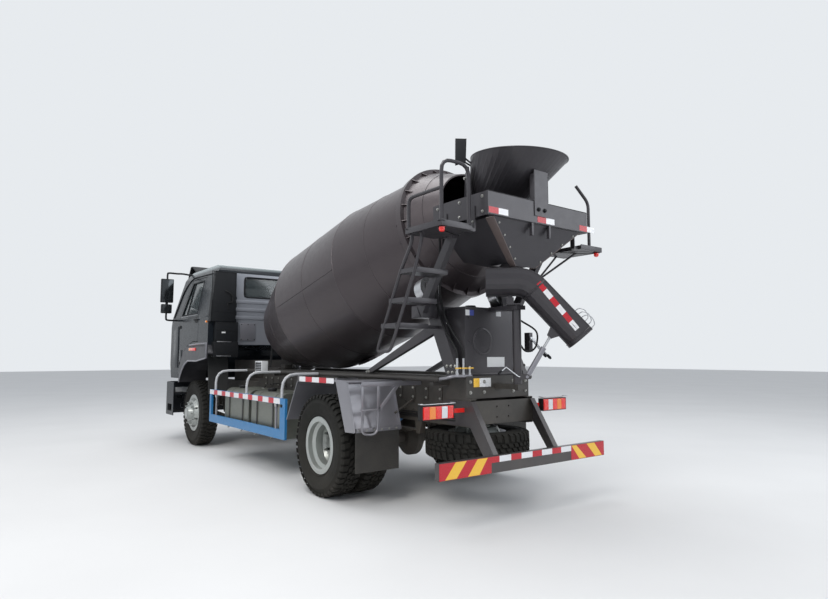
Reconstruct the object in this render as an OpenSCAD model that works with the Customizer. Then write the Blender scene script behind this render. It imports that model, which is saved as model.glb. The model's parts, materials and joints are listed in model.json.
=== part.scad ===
// Concrete mixer truck: two-axle cab-over chassis with a drum mixer body.
// Millimetres. +X forward, +Y left, +Z up. The origin is on the ground, midway between the front bumper
// and the chute's end. Inside the modules, x is counted from the rear axle.

/* [Chassis] */
// Distance between the front and the rear axle
wheelbase = 4500; // [3900:50:5000]
// Rear axle to the rear end of the frame rails
rail_tail = 1500; // [1350:10:1600]
// Front axle to the front end of the frame rails
rail_nose = 950; // [900:10:960]
// Width over the frame rails
rail_gauge = 860; // [840:5:880]
// Height of a frame rail
rail_h = 260; // [220:5:270]
// Width of a frame rail's flange
rail_flange = 80; // [70:5:90]
// Thickness of a frame rail's plate
rail_t = 9; // [8:1:12]
// Height of the frame rails' top above the ground
rail_top_z = 1050; // [1040:5:1060]
// Height of the mixer's subframe on the rails
subframe_h = 215; // [200:5:215]
// Width of a subframe beam
subframe_w = 100; // [90:5:100]
// Length of the engine block
engine_l = 1050; // [900:10:1100]
// Width of the engine block
engine_w = 640; // [500:10:660]
// Height of the engine block
engine_h = 800; // [700:10:830]

/* [Wheels] */
// Diameter of a tyre over its tread
tyre_d = 1054; // [1030:2:1060]
// Section width of a tyre
tyre_w = 270; // [260:2:280]
// Diameter of the rim where the tyre's bead sits
bead_d = 508; // [500:1:516]
// Height of the rim's flange above its bead seat
rim_flange_h = 41; // [30:1:45]
// Width of the rim between its flanges
rim_w = 205; // [190:5:215]
// Distance from the wheel disc's bolting face to the rim's middle
wheel_offset = 160; // [155:1:170]
// Distance between the bolting faces of the rear wheels
rear_track = 1848; // [1820:4:1860]
// Distance between the middles of the front tyres
front_track = 1962; // [1940:2:1980]
// Distance between the kingpins
kingpin_gauge = 1640; // [1620:10:1680]
// Diameter of the circle of wheel studs
stud_pcd = 335; // [325:1:340]
// Number of wheel studs
stud_count = 10; // [8:1:10]
// Radius of a wheel stud
stud_r = 11; // [9:1:12]
// Number of hand holes in a wheel disc
hand_holes = 8; // [6:1:10]
// Radius of a hand hole
hand_hole_r = 27; // [20:1:30]

/* [Drum] */
// Tilt of the drum's axis, its mouth up
drum_tilt = 13.9; // [12:0.1:15]
// Radius of the roller ring
ring_r = 746; // [740:1:752]
// Width of the roller ring
ring_w = 80; // [60:2:90]
// Largest radius of the drum, where its front cone meets the barrel
drum_r_front = 895; // [870:1:900]
// Radius of the drum where the barrel meets its rear cone
drum_r_rear = 862; // [840:1:880]
// Radius of the drum at the roller ring
drum_r_ring = 700; // [680:1:710]
// Radius of the drum's front head
drum_r_head = 638; // [600:1:660]
// Radius of the drum's mouth
mouth_r = 500; // [470:1:520]
// Length of the rear cone ahead of the ring
rear_cone_l = 1203; // [1150:1:1250]
// Length of the barrel
barrel_l = 1496; // [1450:1:1520]
// Length of the front cone
front_cone_l = 992; // [950:1:1000]
// Length of the mouth behind the ring
mouth_l = 400; // [350:1:430]
// Thickness of the drum's shell
drum_t = 8; // [6:1:12]
// Radius of a support roller
roller_r = 125; // [115:1:130]
// Angle of a support roller from straight below the drum's axis
roller_angle = 36; // [33:1:38]

/* [Cab] */
// Width over the cab's sides
cab_w = 2300; // [2200:10:2360]
// Front axle to the cab's rear wall
cab_rear = 750; // [700:10:800]
// Front axle to the cab's front face
cab_front = 1250; // [1200:10:1250]
// Height of the cab's roof above the ground
cab_top_z = 2985; // [2900:5:3050]
// Thickness of the cab's walls and doors
cab_t = 40; // [30:2:50]
// Gap between a door and its opening
door_gap = 10; // [8:1:12]
// Thickness of the windows
glass_t = 6; // [5:1:8]

/* [Hopper and chute] */
// Radius of the feed hopper's rim
hopper_r = 475; // [450:5:500]
// Thickness of the hopper's plates
hopper_t = 8; // [6:1:10]
// Rear axle to the chute's swing axis
chute_post = 1700; // [1680:5:1740]
// Turn of the chute to the right from straight back
chute_heading = 45; // [0:5:60]
// Slope of the chute below level
chute_slope = 48; // [40:1:52]
// Length of the chute's straight part
chute_l = 620; // [560:10:680]
// Width of the chute
chute_w = 400; // [360:10:420]
// Height of the chute's side walls
chute_h = 250; // [220:5:260]
// Thickness of the chute's plate
chute_t = 6; // [5:1:8]

/* [Hidden] */
$fn = 64;

// Colours
c_body = [0.19, 0.20, 0.21];
c_drum = [0.25, 0.24, 0.24];
c_chassis = [0.09, 0.09, 0.10];
c_steel = [0.62, 0.63, 0.65];
c_rubber = [0.07, 0.07, 0.07];
c_glass = [0.35, 0.45, 0.50];
c_blue = [0.05, 0.35, 0.65];
c_red = [0.75, 0.10, 0.08];

// Running clearance of a shaft in its bore
fit = 0.08;
// Gap of faces that lie against each other
seat = 0.3;

// Sides of a bent tube, and steps in each of its bends
tube_sides = 8;
bend_steps = 4;

// Frame of reference
bumper_front = 1300;
hopper_x = -1765;
hopper_z = 3372;
hopper_tilt = 5;
elbow_r = 100;
// How far the chute's outer corner lies behind the rear axle
tail_reach = chute_post + cos(chute_heading) * (elbow_r * sin(chute_slope) + chute_l * cos(chute_slope)
    + chute_h * sin(chute_slope)) + sin(chute_heading) * chute_w / 2;
rear_axle_x = (tail_reach - wheelbase - bumper_front) / 2;
axle_z = tyre_d / 2;
rail_y = rail_gauge / 2;
rail_bottom_z = rail_top_z - rail_h;
deck_z = rail_top_z + subframe_h;
wheel_y = front_track / 2;
pin_y = kingpin_gauge / 2;
twin_y = rear_track / 2;

module from_rear_axle() {
    translate([rear_axle_x, 0, 0]) children();
}

module both_sides() {
    children();
    mirror([0, 1, 0]) children();
}

// A box given by its lowest and highest corners
module block(low, high) {
    translate(low) cube(high - low);
}

// A round bar from point a to point b
module rod(a, b, r) {
    d = b - a;
    translate(a) rotate([0, acos(d[2] / norm(d)), atan2(d[1], d[0])]) cylinder(h = norm(d), r = r, $fn = 24);
}

// A path with its inner corners rounded, the curve starting bend before each corner
function rounded_path(p, bend) = [for (i = [0 : len(p) - 1])
    let (last = i == 0 || i == len(p) - 1)
    let (a = last ? [0, 0, 0] : unit(p[i - 1] - p[i]) * bend, b = last ? [0, 0, 0] : unit(p[i + 1] - p[i]) * bend)
    for (k = [0 : last ? 0 : bend_steps])
        let (t = k / bend_steps)
        p[i] + (1 - t) * (1 - t) * a + t * t * b];

function unit(v) = v / norm(v);

// A closed section carried along path p. up is a direction that no stretch of the path runs along;
// a section point [a, b] lies a across the path and b towards up
module sweep(p, section, up) {
    last = len(p) - 1;
    n_pts = len(section);
    rings = [for (i = [0 : last])
        let (along = unit(p[min(i + 1, last)] - p[max(i - 1, 0)]))
        let (n = unit(cross(along, up)), b = cross(n, along))
        for (q = section) p[i] + q[0] * n + q[1] * b];
    walls = [for (i = [0 : last - 1], k = [0 : n_pts - 1])
        let (a = i * n_pts + k, b = i * n_pts + (k + 1) % n_pts)
        for (f = [[a, b, b + n_pts], [a, b + n_pts, a + n_pts]]) f];
    ends = [for (k = [0 : n_pts / 2 - 2]) let (a = k + 1, b = n_pts - 2 - k, c = last * n_pts)
        for (f = [[b + 1, b, a, k], [c + k, c + a, c + b, c + b + 1]]) f];
    polyhedron(rings, concat(walls, ends));
}

// A bent tube along points, its bends starting bend before each corner
module tube_run(points, r, bend, up) {
    sweep(rounded_path(points, bend),
        [for (k = [0 : tube_sides - 1]) r * [cos(k * 360 / tube_sides), sin(k * 360 / tube_sides)]], up);
}

// A plate in the XZ plane, from y0 to y1
module side_plate(points, y0, y1) {
    translate([0, y1, 0]) rotate([90, 0, 0]) linear_extrude(y1 - y0) polygon(points);
}

// A plate in the YZ plane, from x0 to x1
module cross_plate(points, x0, x1) {
    translate([x0, 0, 0]) rotate([90, 0, 90]) linear_extrude(x1 - x0) polygon(points);
}

// Chassis

module rail(x0, x1) {
    difference() {
        block([x0, rail_y - rail_flange, rail_bottom_z], [x1, rail_y, rail_top_z]);
        block([x0 - 1, rail_y - rail_flange - 1, rail_bottom_z + rail_t], [x1 + 1, rail_y - rail_t, rail_top_z - rail_t]);
    }
}

// Places of the crossmembers, from the rear axle
crossmember_x = [-1400, -560, 560, 1700, 2900, 5350];
crossmember_r = 55;

module frame_rails() {
    color(c_chassis) from_rear_axle() {
        both_sides() rail(-rail_tail, wheelbase + rail_nose);
        for (x = crossmember_x)
            rod([x, -rail_y + rail_t, rail_top_z - 90], [x, rail_y - rail_t, rail_top_z - 90], crossmember_r);
        difference() {
            block([-rail_tail, -rail_y + rail_t, rail_bottom_z + 20], [-rail_tail + 12, rail_y - rail_t, rail_top_z - 20]);
            for (y = [-tow_dy / 2, tow_dy / 2], z = [-tow_dz / 2, tow_dz / 2])
                translate([-rail_tail - 1, y, tow_z + z]) rotate([0, 90, 0]) cylinder(h = 14, r = tow_hole_r, $fn = 32);
        }
    }
}

// Bolt holes of the tow hitch in the rear crossmember
tow_dy = 160;
tow_dz = 100;
tow_z = 920;
tow_hole_r = 9;

engine_x = wheelbase - 800;
engine_z = 590;

module engine() {
    color(c_chassis) from_rear_axle()
        block([engine_x, -engine_w / 2, engine_z], [engine_x + engine_l, engine_w / 2, engine_z + engine_h]);
}

// Front axle: a beam dropped between its spring seats, with an eye at each kingpin
beam_z = 430;
beam_h = 90;
beam_w = 70;
pin_r = 22;
eye_h = 130;
pin_z = axle_z;

module front_axle() {
    color(c_chassis) from_rear_axle() translate([wheelbase, 0, 0]) {
        difference() {
            union() {
                cross_plate([[-pin_y + 40, pin_z + 40], [-pin_y + 40, pin_z - 45], [-560, beam_z - beam_h / 2],
                    [560, beam_z - beam_h / 2], [pin_y - 40, pin_z - 45], [pin_y - 40, pin_z + 40],
                    [560, beam_z + beam_h / 2], [-560, beam_z + beam_h / 2]], -beam_w / 2, beam_w / 2);
                for (s = [-1, 1]) translate([0, s * pin_y, pin_z - eye_h / 2]) cylinder(h = eye_h, r = 50);
            }
            for (s = [-1, 1]) translate([0, s * pin_y, pin_z - eye_h]) cylinder(h = 2 * eye_h, r = pin_r + fit);
        }
        both_sides() block([-60, spring_y - spring_w / 2, beam_z + beam_h / 2 - 5],
            [60, spring_y + spring_w / 2, front_spring_z - 3 * leaf_t]);
    }
}

// Rear axle: a tube with a round differential housing
rear_tube_r = 70;
rear_spindle_r = 50;
diff_r = 210;

module rear_axle() {
    color(c_chassis) from_rear_axle() translate([0, 0, axle_z]) {
        rod([0, -twin_y + 190, 0], [0, twin_y - 190, 0], rear_tube_r);
        rod([0, -twin_y - 60, 0], [0, twin_y + 60, 0], rear_spindle_r);
        rotate([90, 0, 0]) rotate_extrude($fn = 64)
            polygon([[0, -130], [diff_r * 0.6, -120], [diff_r, -40], [diff_r, 40], [diff_r * 0.6, 120], [0, 130]]);
        rod([150, 0, 30], [330, 0, 60], 80);
        both_sides() block([-70, spring_y - spring_w / 2, 40], [70, spring_y + spring_w / 2, rear_spring_z - axle_z - 5 * leaf_t]);
    }
}

// Leaf springs: leaves stepped in length, bowed, with an eye bracket at each end
spring_y = rail_y - rail_flange / 2;
spring_w = 75;
leaf_t = 14;
front_spring_z = 600;
rear_spring_z = 700;
front_spring_l = 1500;
rear_spring_l = 1400;

module leaf_pack(x, z, length, leaves, hanger_top) {
    for (i = [0 : leaves - 1]) {
        half = length / 2 - i * length / (2 * leaves + 3);
        block([x - half, spring_y - spring_w / 2, z - (i + 1) * leaf_t], [x + half, spring_y + spring_w / 2, z - i * leaf_t]);
    }
    for (s = [-1, 1]) {
        side_plate([[x + s * (length / 2 + 25), z - leaf_t - 25], [x + s * (length / 2 - 35), z - leaf_t - 25],
            [x + s * (length / 2 - 60), hanger_top], [x + s * (length / 2 + 60), hanger_top]],
            spring_y - spring_w / 2 + 5, spring_y + spring_w / 2 - 5);
    }
}

module leaf_springs() {
    color(c_chassis) from_rear_axle() both_sides() {
        leaf_pack(wheelbase, front_spring_z, front_spring_l, 3, rail_bottom_z);
        leaf_pack(0, rear_spring_z, rear_spring_l, 5, rail_bottom_z);
    }
}

module prop_shaft() {
    color(c_chassis) from_rear_axle() {
        rod([342, 0, axle_z + 60], [1900, 0, 690], 50);
        rod([1900, 0, 690], [engine_x - 3, 0, 760], 50);
        translate([1900, 0, 690]) sphere(r = 70);
        block([1870, -40, 690], [1930, 40, rail_top_z - 140]);
        block([1870, -rail_y + rail_t, rail_top_z - 180], [1930, rail_y - rail_t, rail_top_z - 140]);
    }
}

// Front bumper: a curved skin with corner ends, two steps and the tow pin's bracket
bumper_w = 2440;
bumper_low_z = 430;
bumper_high_z = 1000;
bumper_t = 12;
bumper_back = 1300 - 560;
tow_pin_r = 20;

module bumper_outline(inset) {
    front = bumper_front - inset;
    half = bumper_w / 2 - inset;
    corner = 160 - inset;
    translate([bumper_back - 1, -half]) square([front - corner - bumper_back + 1, 2 * half]);
    translate([bumper_back - 1, -half + corner]) square([front - bumper_back + 1, 2 * (half - corner)]);
    for (s = [-1, 1]) translate([front - corner, s * (half - corner)]) circle(r = corner);
}

module front_bumper() {
    color(c_body) from_rear_axle() translate([wheelbase, 0, 0]) {
        difference() {
            translate([0, 0, bumper_low_z]) linear_extrude(bumper_high_z - bumper_low_z) bumper_outline(0);
            translate([0, 0, bumper_low_z - 1]) linear_extrude(bumper_high_z - bumper_low_z + 2) bumper_outline(bumper_t);
            block([bumper_back - 2, -bumper_w, bumper_low_z - 1], [bumper_back, bumper_w, bumper_high_z + 1]);
            block([bumper_front - 100, -330, 640], [bumper_front + 1, 330, 760]);
            both_sides() block([bumper_front - 60, lamp_y0 - seat, lamp_z0 - seat], [bumper_front + 1, lamp_y1 + seat, lamp_z1 + seat]);
            both_sides() block([bumper_back + 80, bumper_w / 2 - 30, 500], [bumper_back + 330, bumper_w / 2 + 1, 620]);
        }
        // Inner beam that carries the skin, bolted to the rails' ends
        block([rail_nose + 5, -1000, 700], [rail_nose + 100, 1000, 760]);
        both_sides() {
            block([rail_nose - 200, rail_y, 700], [rail_nose + 50, rail_y + 12, 1000]);
            block([rail_nose + 50, 940, 700], [bumper_front - bumper_t + 1, 1000, 760]);
            block([bumper_back + 60, bumper_w / 2 - 260, 470], [bumper_back + 350, bumper_w / 2 - 5, 500]);
            block([bumper_back + 60, bumper_w / 2 - 250, 780], [bumper_back + 350, bumper_w / 2 - 5, 810]);
            block([bumper_back + 180, bumper_w / 2 - 258, 480], [bumper_back + 220, bumper_w / 2 - 238, 805]);
            block([bumper_back + 180, 960, 740], [bumper_back + 320, bumper_w / 2 - 238, 780]);
        }
        // Tow bracket with the pin's upright hole
        difference() {
            block([rail_nose + 100, -70, 670], [bumper_front - 10, 70, 730]);
            translate([bumper_front - 60, 0, 600]) cylinder(h = 200, r = tow_pin_r, $fn = 48);
        }
    }
}

lamp_y0 = 700;
lamp_y1 = 1040;
lamp_z0 = 770;
lamp_z1 = 890;

module head_lamps() {
    color([0.85, 0.87, 0.9]) from_rear_axle() translate([wheelbase, 0, 0]) both_sides()
        block([bumper_front - 70, lamp_y0, lamp_z0], [bumper_front - 2, lamp_y1, lamp_z1]);
}

// Fuel tank on the left, air tanks on the right
tank_w = 560;
tank_h = 560;

module rounded_bar(x0, x1, y0, y1, z0, z1, r) {
    translate([x0, 0, 0]) rotate([90, 0, 90]) linear_extrude(x1 - x0) {
        translate([y0 + r, z0]) square([y1 - y0 - 2 * r, z1 - z0]);
        translate([y0, z0 + r]) square([y1 - y0, z1 - z0 - 2 * r]);
        for (y = [y0 + r, y1 - r], z = [z0 + r, z1 - r]) translate([y, z]) circle(r = r);
    }
}

// Lengths of the two tanks behind the left guard: [start, end]
tank_spans = [[1250, 2150], [2250, 3150]];

module fuel_tank() {
    color(c_steel) from_rear_axle() for (t = tank_spans) {
        rounded_bar(t[0], t[1], 500, 500 + tank_w, 430, 430 + tank_h, 110);
        for (x = [t[0] + 180, t[1] - 220])
            rounded_bar(x, x + 45, 495, 505 + tank_w, 425, 435 + tank_h, 115);
        for (x = [t[0] + 180, t[1] - 220])
            block([x, rail_y, 860], [x + 45, 520, 975]);
    }
}

module air_tanks() {
    color(c_chassis) from_rear_axle() {
        for (z = [600, 880]) rod([1500, -720, z], [2500, -720, z], 120);
        for (x = [1700, 2300]) block([x, -740, 470], [x + 40, -rail_y, 1000]);
        block([2650, -1040, 480], [3250, -rail_y, 960]);
    }
}

// Side guards: a frame of two rails and two posts each, hung from the subframe by bent tubes
guard_y = 1150;
guard_x0 = 930;
guard_x1 = 3560;
guard_z0 = 470;
guard_z1 = 950;
guard_rail_h = 110;
guard_t = 30;

module side_guards() {
    color(c_blue) from_rear_axle() both_sides() {
        block([guard_x0, guard_y - guard_t, guard_z0], [guard_x1, guard_y, guard_z0 + guard_rail_h]);
        block([guard_x0, guard_y - guard_t, guard_z1 - 70], [guard_x1, guard_y, guard_z1]);
        for (x = [guard_x0, guard_x1 - 70])
            block([x, guard_y - guard_t, guard_z0], [x + 70, guard_y, guard_z1]);
        // Bent tubes up to the subframe's side tube
        for (x = [1050, 2150, 3350])
            tube_run([[x, guard_y - guard_t / 2, guard_z1 - 10], [x, guard_y - guard_t / 2, side_tube_z],
                [x, side_tube_y + side_tube_r + seat, side_tube_z]], 18, 180, [1, 0, 0]);
    }
}

// Subframe: two long box beams, cross pieces and a tube along each side
side_tube_y = 630;
side_tube_z = 1235;
side_tube_r = 25;
subframe_front = 3420;
subframe_rear = -1450;

module subframe() {
    color(c_chassis) from_rear_axle() {
        both_sides() {
            side_plate([[subframe_rear, rail_top_z], [subframe_rear, deck_z], [subframe_front - 500, deck_z],
                [subframe_front, rail_top_z + 60], [subframe_front, rail_top_z]], rail_y - subframe_w, rail_y);
            rod([-1300, side_tube_y, side_tube_z], [3400, side_tube_y, side_tube_z], side_tube_r);
            for (x = [-1200, -300, 600, 1500, 2400, 3250])
                block([x, rail_y - 10, side_tube_z - 60 - (x > 3000 ? 60 : 0)], [x + 50, side_tube_y, side_tube_z - 15]);
        }
        for (x = [-1350, -250, 1100, 2500])
            block([x, -rail_y + subframe_w - 1, rail_top_z + 40], [x + 90, rail_y - subframe_w + 1, rail_top_z + 160]);
        block([subframe_rear, -rail_y, deck_z - 12], [subframe_rear + 460, rail_y, deck_z]);
        // Lower bearing of the chute's post
        difference() {
            block([-chute_post - 60, -60, post_low_z - 50], [subframe_rear + 10, 60, post_low_z - seat]);
            translate([-chute_post, 0, 0]) cylinder(h = 3000, r = post_pin_r + fit);
        }
        block([subframe_rear, -rail_y, rail_top_z], [subframe_rear + 12, rail_y, deck_z]);
    }
}

// Drum axis: local Z runs forward and down along it from the ring's middle
ring_x = -792;
ring_z = 2806;
axis_l = rear_cone_l + barrel_l + front_cone_l;
head_depth = 150;
hub_r = 210;
hub_z = axis_l + head_depth;

module on_drum_axis() {
    translate([ring_x, 0, ring_z]) rotate([0, 90 + drum_tilt, 0]) children();
}

function drum_axis_point(s) = [ring_x + s * cos(drum_tilt), 0, ring_z - s * sin(drum_tilt)];

module drum() {
    color(c_drum) from_rear_axle() on_drum_axis() {
        rotate_extrude($fn = 96) polygon([
            [mouth_r, -mouth_l], [drum_r_ring, -ring_w / 2], [ring_r, -ring_w / 2], [ring_r, ring_w / 2],
            [drum_r_ring + 4, ring_w / 2], [drum_r_rear, rear_cone_l], [drum_r_front, rear_cone_l + barrel_l],
            [drum_r_head, axis_l], [hub_r + 60, hub_z - 30], [hub_r, hub_z - 30], [hub_r, hub_z],
            [0, hub_z], [0, hub_z - 50], [hub_r, hub_z - 50], [drum_r_head - 30, axis_l - drum_t],
            [drum_r_front - drum_t, rear_cone_l + barrel_l - drum_t], [drum_r_rear - drum_t, rear_cone_l + drum_t],
            [drum_r_ring - drum_t - 10, 0], [mouth_r - drum_t, -mouth_l]]);
    }
}

// Drum drive: a pedestal on the subframe with the reducer on its top
reducer_l = 260;
pedestal_x = 3140;

module drum_drive() {
    color(c_chassis) from_rear_axle() {
        on_drum_axis() translate([0, 0, hub_z + seat]) {
            cylinder(h = 60, r = hub_r - 40);
            cylinder(h = reducer_l, r = 150);
        }
        both_sides() side_plate([[2700, deck_z - 1], [3100, deck_z - 80], [pedestal_x + 120, 1900], [pedestal_x + 40, 1990],
            [pedestal_x - 60, 1560]], 150, 175);
        block([pedestal_x - 20, -175, 1560], [pedestal_x + 60, 175, 1680]);
        block([2680, -rail_y, deck_z], [3060, rail_y, deck_z + 15]);
    }
}

// Support rollers under the ring
roller_w = 110;
roller_pin_r = 30;
roller_centre = ring_r + roller_r + seat;
beam_top_z = 1950;

module at_roller(s) {
    on_drum_axis() translate([roller_centre * cos(roller_angle), s * roller_centre * sin(roller_angle), 0]) children();
}

module roller(s) {
    color(c_steel) from_rear_axle() at_roller(s) difference() {
        translate([0, 0, -roller_w / 2]) cylinder(h = roller_w, r = roller_r);
        translate([0, 0, -roller_w]) cylinder(h = 2 * roller_w, r = roller_pin_r + fit);
    }
}

module roller_left() { roller(1); }
module roller_right() { roller(-1); }

// Drum stand: legs, roller beam with the rollers' forks, and posts for the hopper
leg_y = 450;
leg_foot_x = -1310;
leg_top_x = -1000;
post_y = 640;

module drum_stand() {
    color(c_body) from_rear_axle() {
        both_sides() {
            side_plate([[leg_foot_x - 90, deck_z], [leg_foot_x + 90, deck_z], [leg_top_x + 90, beam_top_z - 40],
                [leg_top_x - 90, beam_top_z - 40]], leg_y - 30, leg_y + 30);
            side_plate([[130, deck_z], [260, deck_z], [-1030, 1800], [-1080, 1700]], leg_y - 25, leg_y + 25);
            // Fork plates and pin of a roller
            at_roller(1) {
                for (z = [-roller_w / 2 - 40, roller_w / 2 + 15])
                    translate([-50, -60, z]) cube([roller_r + 90, 120, 25]);
                translate([0, 0, -roller_w / 2 - 45]) cylinder(h = roller_w + 90, r = roller_pin_r);
            }
            // Post from the beam's end up to the hopper's frame
            side_plate([[leg_top_x - 60, beam_top_z - 120], [leg_top_x + 60, beam_top_z - 120],
                [hopper_x + 330, platform_z], [hopper_x + 330, panel_z1 - 40], [hopper_x + 230, panel_z1 - 40],
                [hopper_x + 230, platform_z]], post_y - 30, post_y + 30);
        }
        block([leg_top_x - 90, -post_y - 30, beam_top_z - 120], [leg_top_x + 90, post_y + 30, beam_top_z]);
        both_sides() block([leg_top_x - 70, leg_y - 60, beam_top_z - 1], [leg_top_x + 130, leg_y + 120, beam_top_z + 25]);
    }
}

// Feed hopper: a round funnel that opens into the drum's mouth
throat_r = 250;
// Middle of the hopper's throat, at the drum's mouth, and how far the throat reaches into it
throat_x = -1320;
throat_z = 2950;
throat_l = 120;
platform_z = 2550;
panel_half = 690;
panel_z0 = 2680;
panel_z1 = 2890;

// Directions of the two round openings: forward in the rim's plane, up in the throat's, and into the drum
rim_fore = [cos(hopper_tilt), 0, sin(hopper_tilt)];
throat_up = [sin(drum_tilt), 0, cos(drum_tilt)];
throat_in = [cos(drum_tilt), 0, -sin(drum_tilt)];
hopper_sides = 48;

// A ring of points round a middle point c, from direction e through +Y
function ring_points(c, e, r) = [for (k = [0 : hopper_sides - 1]) let (a = k * 360 / hopper_sides)
    c + r * cos(a) * e + [0, r * sin(a), 0]];

// The funnel's surface from rim to throat's end, drawn in by t
function funnel_rings(t) = [
    ring_points([hopper_x, 0, hopper_z], rim_fore, hopper_r - t),
    ring_points([throat_x, 0, throat_z], throat_up, throat_r - t),
    ring_points([throat_x, 0, throat_z] + throat_l * throat_in, throat_up, throat_r - t)];

// A plate closed on itself through each ring in turn
module loft(rings) {
    n = len(rings);
    m = len(rings[0]);
    polyhedron([for (r = rings) for (q = r) q], [for (i = [0 : n - 1], k = [0 : m - 1])
        let (j = (i + 1) % n, l = (k + 1) % m)
        for (f = [[i * m + k, i * m + l, j * m + l], [i * m + k, j * m + l, j * m + k]]) f]);
}

module feed_hopper() {
    color(c_body) from_rear_axle() {
        loft(concat(funnel_rings(0), reversed(funnel_rings(hopper_t))));
        // Upright plate that holds the funnel behind the rear panel
        block([panel_x - 8, -95, panel_z0 + 70], [panel_x, 95, 3187]);
        // Arms to the side boards
        both_sides() block([-1500, 202, throat_z - 90], [-1470, panel_half - panel_t, throat_z - 60]);
    }
}

// Discharge hopper: four plates that taper to the chute's head
collector_back = -2008;
collector_z = 2300;
// Half the outlet's length and width, within the chute's walls at any turn of the chute
outlet_l = 125;
outlet_w = 130;

module collector(t) {
    intersection() {
        side_plate([[collector_back + t, panel_z0 + t], [-1290 - t, panel_z0 + t], [-1215 - t, 2400 + t * 0.3],
            [-chute_post + outlet_l - t, collector_z + t * 0.3], [-chute_post + outlet_l - t, collector_z - t],
            [-chute_post - outlet_l + t, collector_z - t]], -1000, 1000);
        cross_plate([[-600 + t, panel_z0 + t], [600 - t, panel_z0 + t], [outlet_w - t, collector_z - t], [-outlet_w + t, collector_z - t]],
            collector_back - 10, -1100);
    }
}

module discharge_hopper() {
    color(c_body) from_rear_axle() difference() {
        collector(0);
        collector(hopper_t);
        on_drum_axis() rotate_extrude() polygon([[0, -mouth_l - 15], [mouth_r + 15, -mouth_l - 15],
            [drum_r_ring + 20, 0], [0, 0]]);
    }
}

// Rear panel: a band across the back of the hopper's frame with a side board at each end
panel_x = -2030;
panel_t = 20;

module rear_panel() {
    color(c_body) from_rear_axle() {
        block([panel_x, -panel_half, panel_z0], [panel_x + panel_t, panel_half, panel_z1]);
        both_sides() block([panel_x, panel_half - panel_t, panel_z0], [-1280, panel_half, panel_z1]);
    }
}

// Platforms beside the hopper, with handrails
platform_x0 = -1900;
platform_x1 = -1400;
platform_y0 = 757;
platform_y1 = 1110;
platform_t = 40;
rail_r = 17;

module platforms() {
    color(c_body) from_rear_axle() {
        both_sides() {
            block([platform_x0, platform_y0, platform_z], [platform_x1, platform_y1, platform_z + platform_t]);
            for (x = [platform_x0 + 30, platform_x1 - 90]) {
                block([x, panel_half, platform_z], [x + 50, platform_y0 + 5, platform_z + 30]);
                block([x, panel_half, platform_z], [x + 50, panel_half + 10, panel_z0 + 100]);
            }
        }
        // Hoop across the left platform's rear edge, and its side rail
        tube_run([[platform_x0 + 20, platform_y0 + 20, platform_z + 20], [platform_x0 + 20, platform_y0 + 20, platform_z + 580],
            [platform_x0 + 20, platform_y1 - 20, platform_z + 580], [platform_x0 + 20, platform_y1 - 20, platform_z + 20]],
            rail_r, 110, [1, 0, 0]);
        tube_run([[platform_x0 + 25, platform_y1 - 20, platform_z + 330], [platform_x1 - 20, platform_y1 - 20, platform_z + 330],
            [platform_x1 - 20, platform_y1 - 20, platform_z + 20]], rail_r, 70, [0, 1, 0]);
        // Bent handrail of the right platform
        tube_run([[platform_x0 + 140, -platform_y1 + 20, platform_z + 20], [platform_x0 + 140, -platform_y1 + 20, platform_z + 560],
            [platform_x0 + 220, -platform_y1 + 120, platform_z + 750]], rail_r, 60, [1, 0, 0]);
    }
}

// Ladder on the left: three treads held by a U of tube
ladder_y0 = post_y + 30;
ladder_y1 = 1050;
// Treads: [x of the middle, height]
treads = [[-1350, 2230], [-1190, 1970], [-1060, 1740]];

module ladder() {
    color(c_body) from_rear_axle() {
        for (t = treads) block([t[0] - 120, ladder_y0, t[1] - 20], [t[0] + 120, ladder_y1 + 10, t[1] + 20]);
        tube_run([[-1560, ladder_y1, platform_z], [-1560, ladder_y1, platform_z - 60],
            [treads[0][0] - 110, ladder_y1, treads[0][1]], [-1080, ladder_y1, 1500], [-860, ladder_y1, 1500],
            [treads[0][0] + 110, ladder_y1, treads[0][1]], [-1420, ladder_y1, platform_z - 60],
            [-1420, ladder_y1, platform_z]], 16, 55, [0, 1, 0]);
        // Arm of the lowest tread, to the leg
        block([treads[2][0] - 45, leg_y + 30, treads[2][1] - 15], [treads[2][0] - 5, ladder_y0, treads[2][1] + 15]);
    }
}

// Water tank between the rear legs
water_x0 = -1380;
water_x1 = -1110;
water_half = 380;
water_top_z = 1930;

module water_tank() {
    color(c_body) from_rear_axle() {
        block([water_x0, -water_half, deck_z], [water_x1, water_half, water_top_z]);
        // Upper bearing of the chute's post
        difference() {
            block([-chute_post - 60, -60, post_high_z + seat], [water_x0 + 1, 60, post_high_z + 40]);
            translate([-chute_post, 0, 0]) cylinder(h = 3000, r = post_pin_r + fit);
        }
    }
}

// Mudguards: slanted plates ahead of and behind the rear wheels
guard_plate_y0 = 665;
guard_plate_y1 = 1215;
guard_plate_t = 12;

module mudguards() {
    color(c_steel) from_rear_axle() both_sides() {
        side_plate([[-560, 1210], [-560 - guard_plate_t, 1210], [-700 - guard_plate_t, 720], [-700, 720]],
            guard_plate_y0, guard_plate_y1);
        side_plate([[-260, 1210], [-572, 1210], [-572, 1198], [-260, 1198]], guard_plate_y0, guard_plate_y1);
        side_plate([[480, 1180], [480 + guard_plate_t, 1180], [740 + guard_plate_t, 730], [740, 730]],
            guard_plate_y0, guard_plate_y1);
        for (x = [-420, 460]) block([x, rail_y, 1160], [x + 40, guard_plate_y0 + 60, 1199]);
    }
}

module mud_flaps() {
    color(c_rubber) from_rear_axle() both_sides()
        side_plate([[-713, 760], [-719, 760], [-719, 340], [-713, 340]], guard_plate_y0 + 20, guard_plate_y1 - 20);
}

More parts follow.
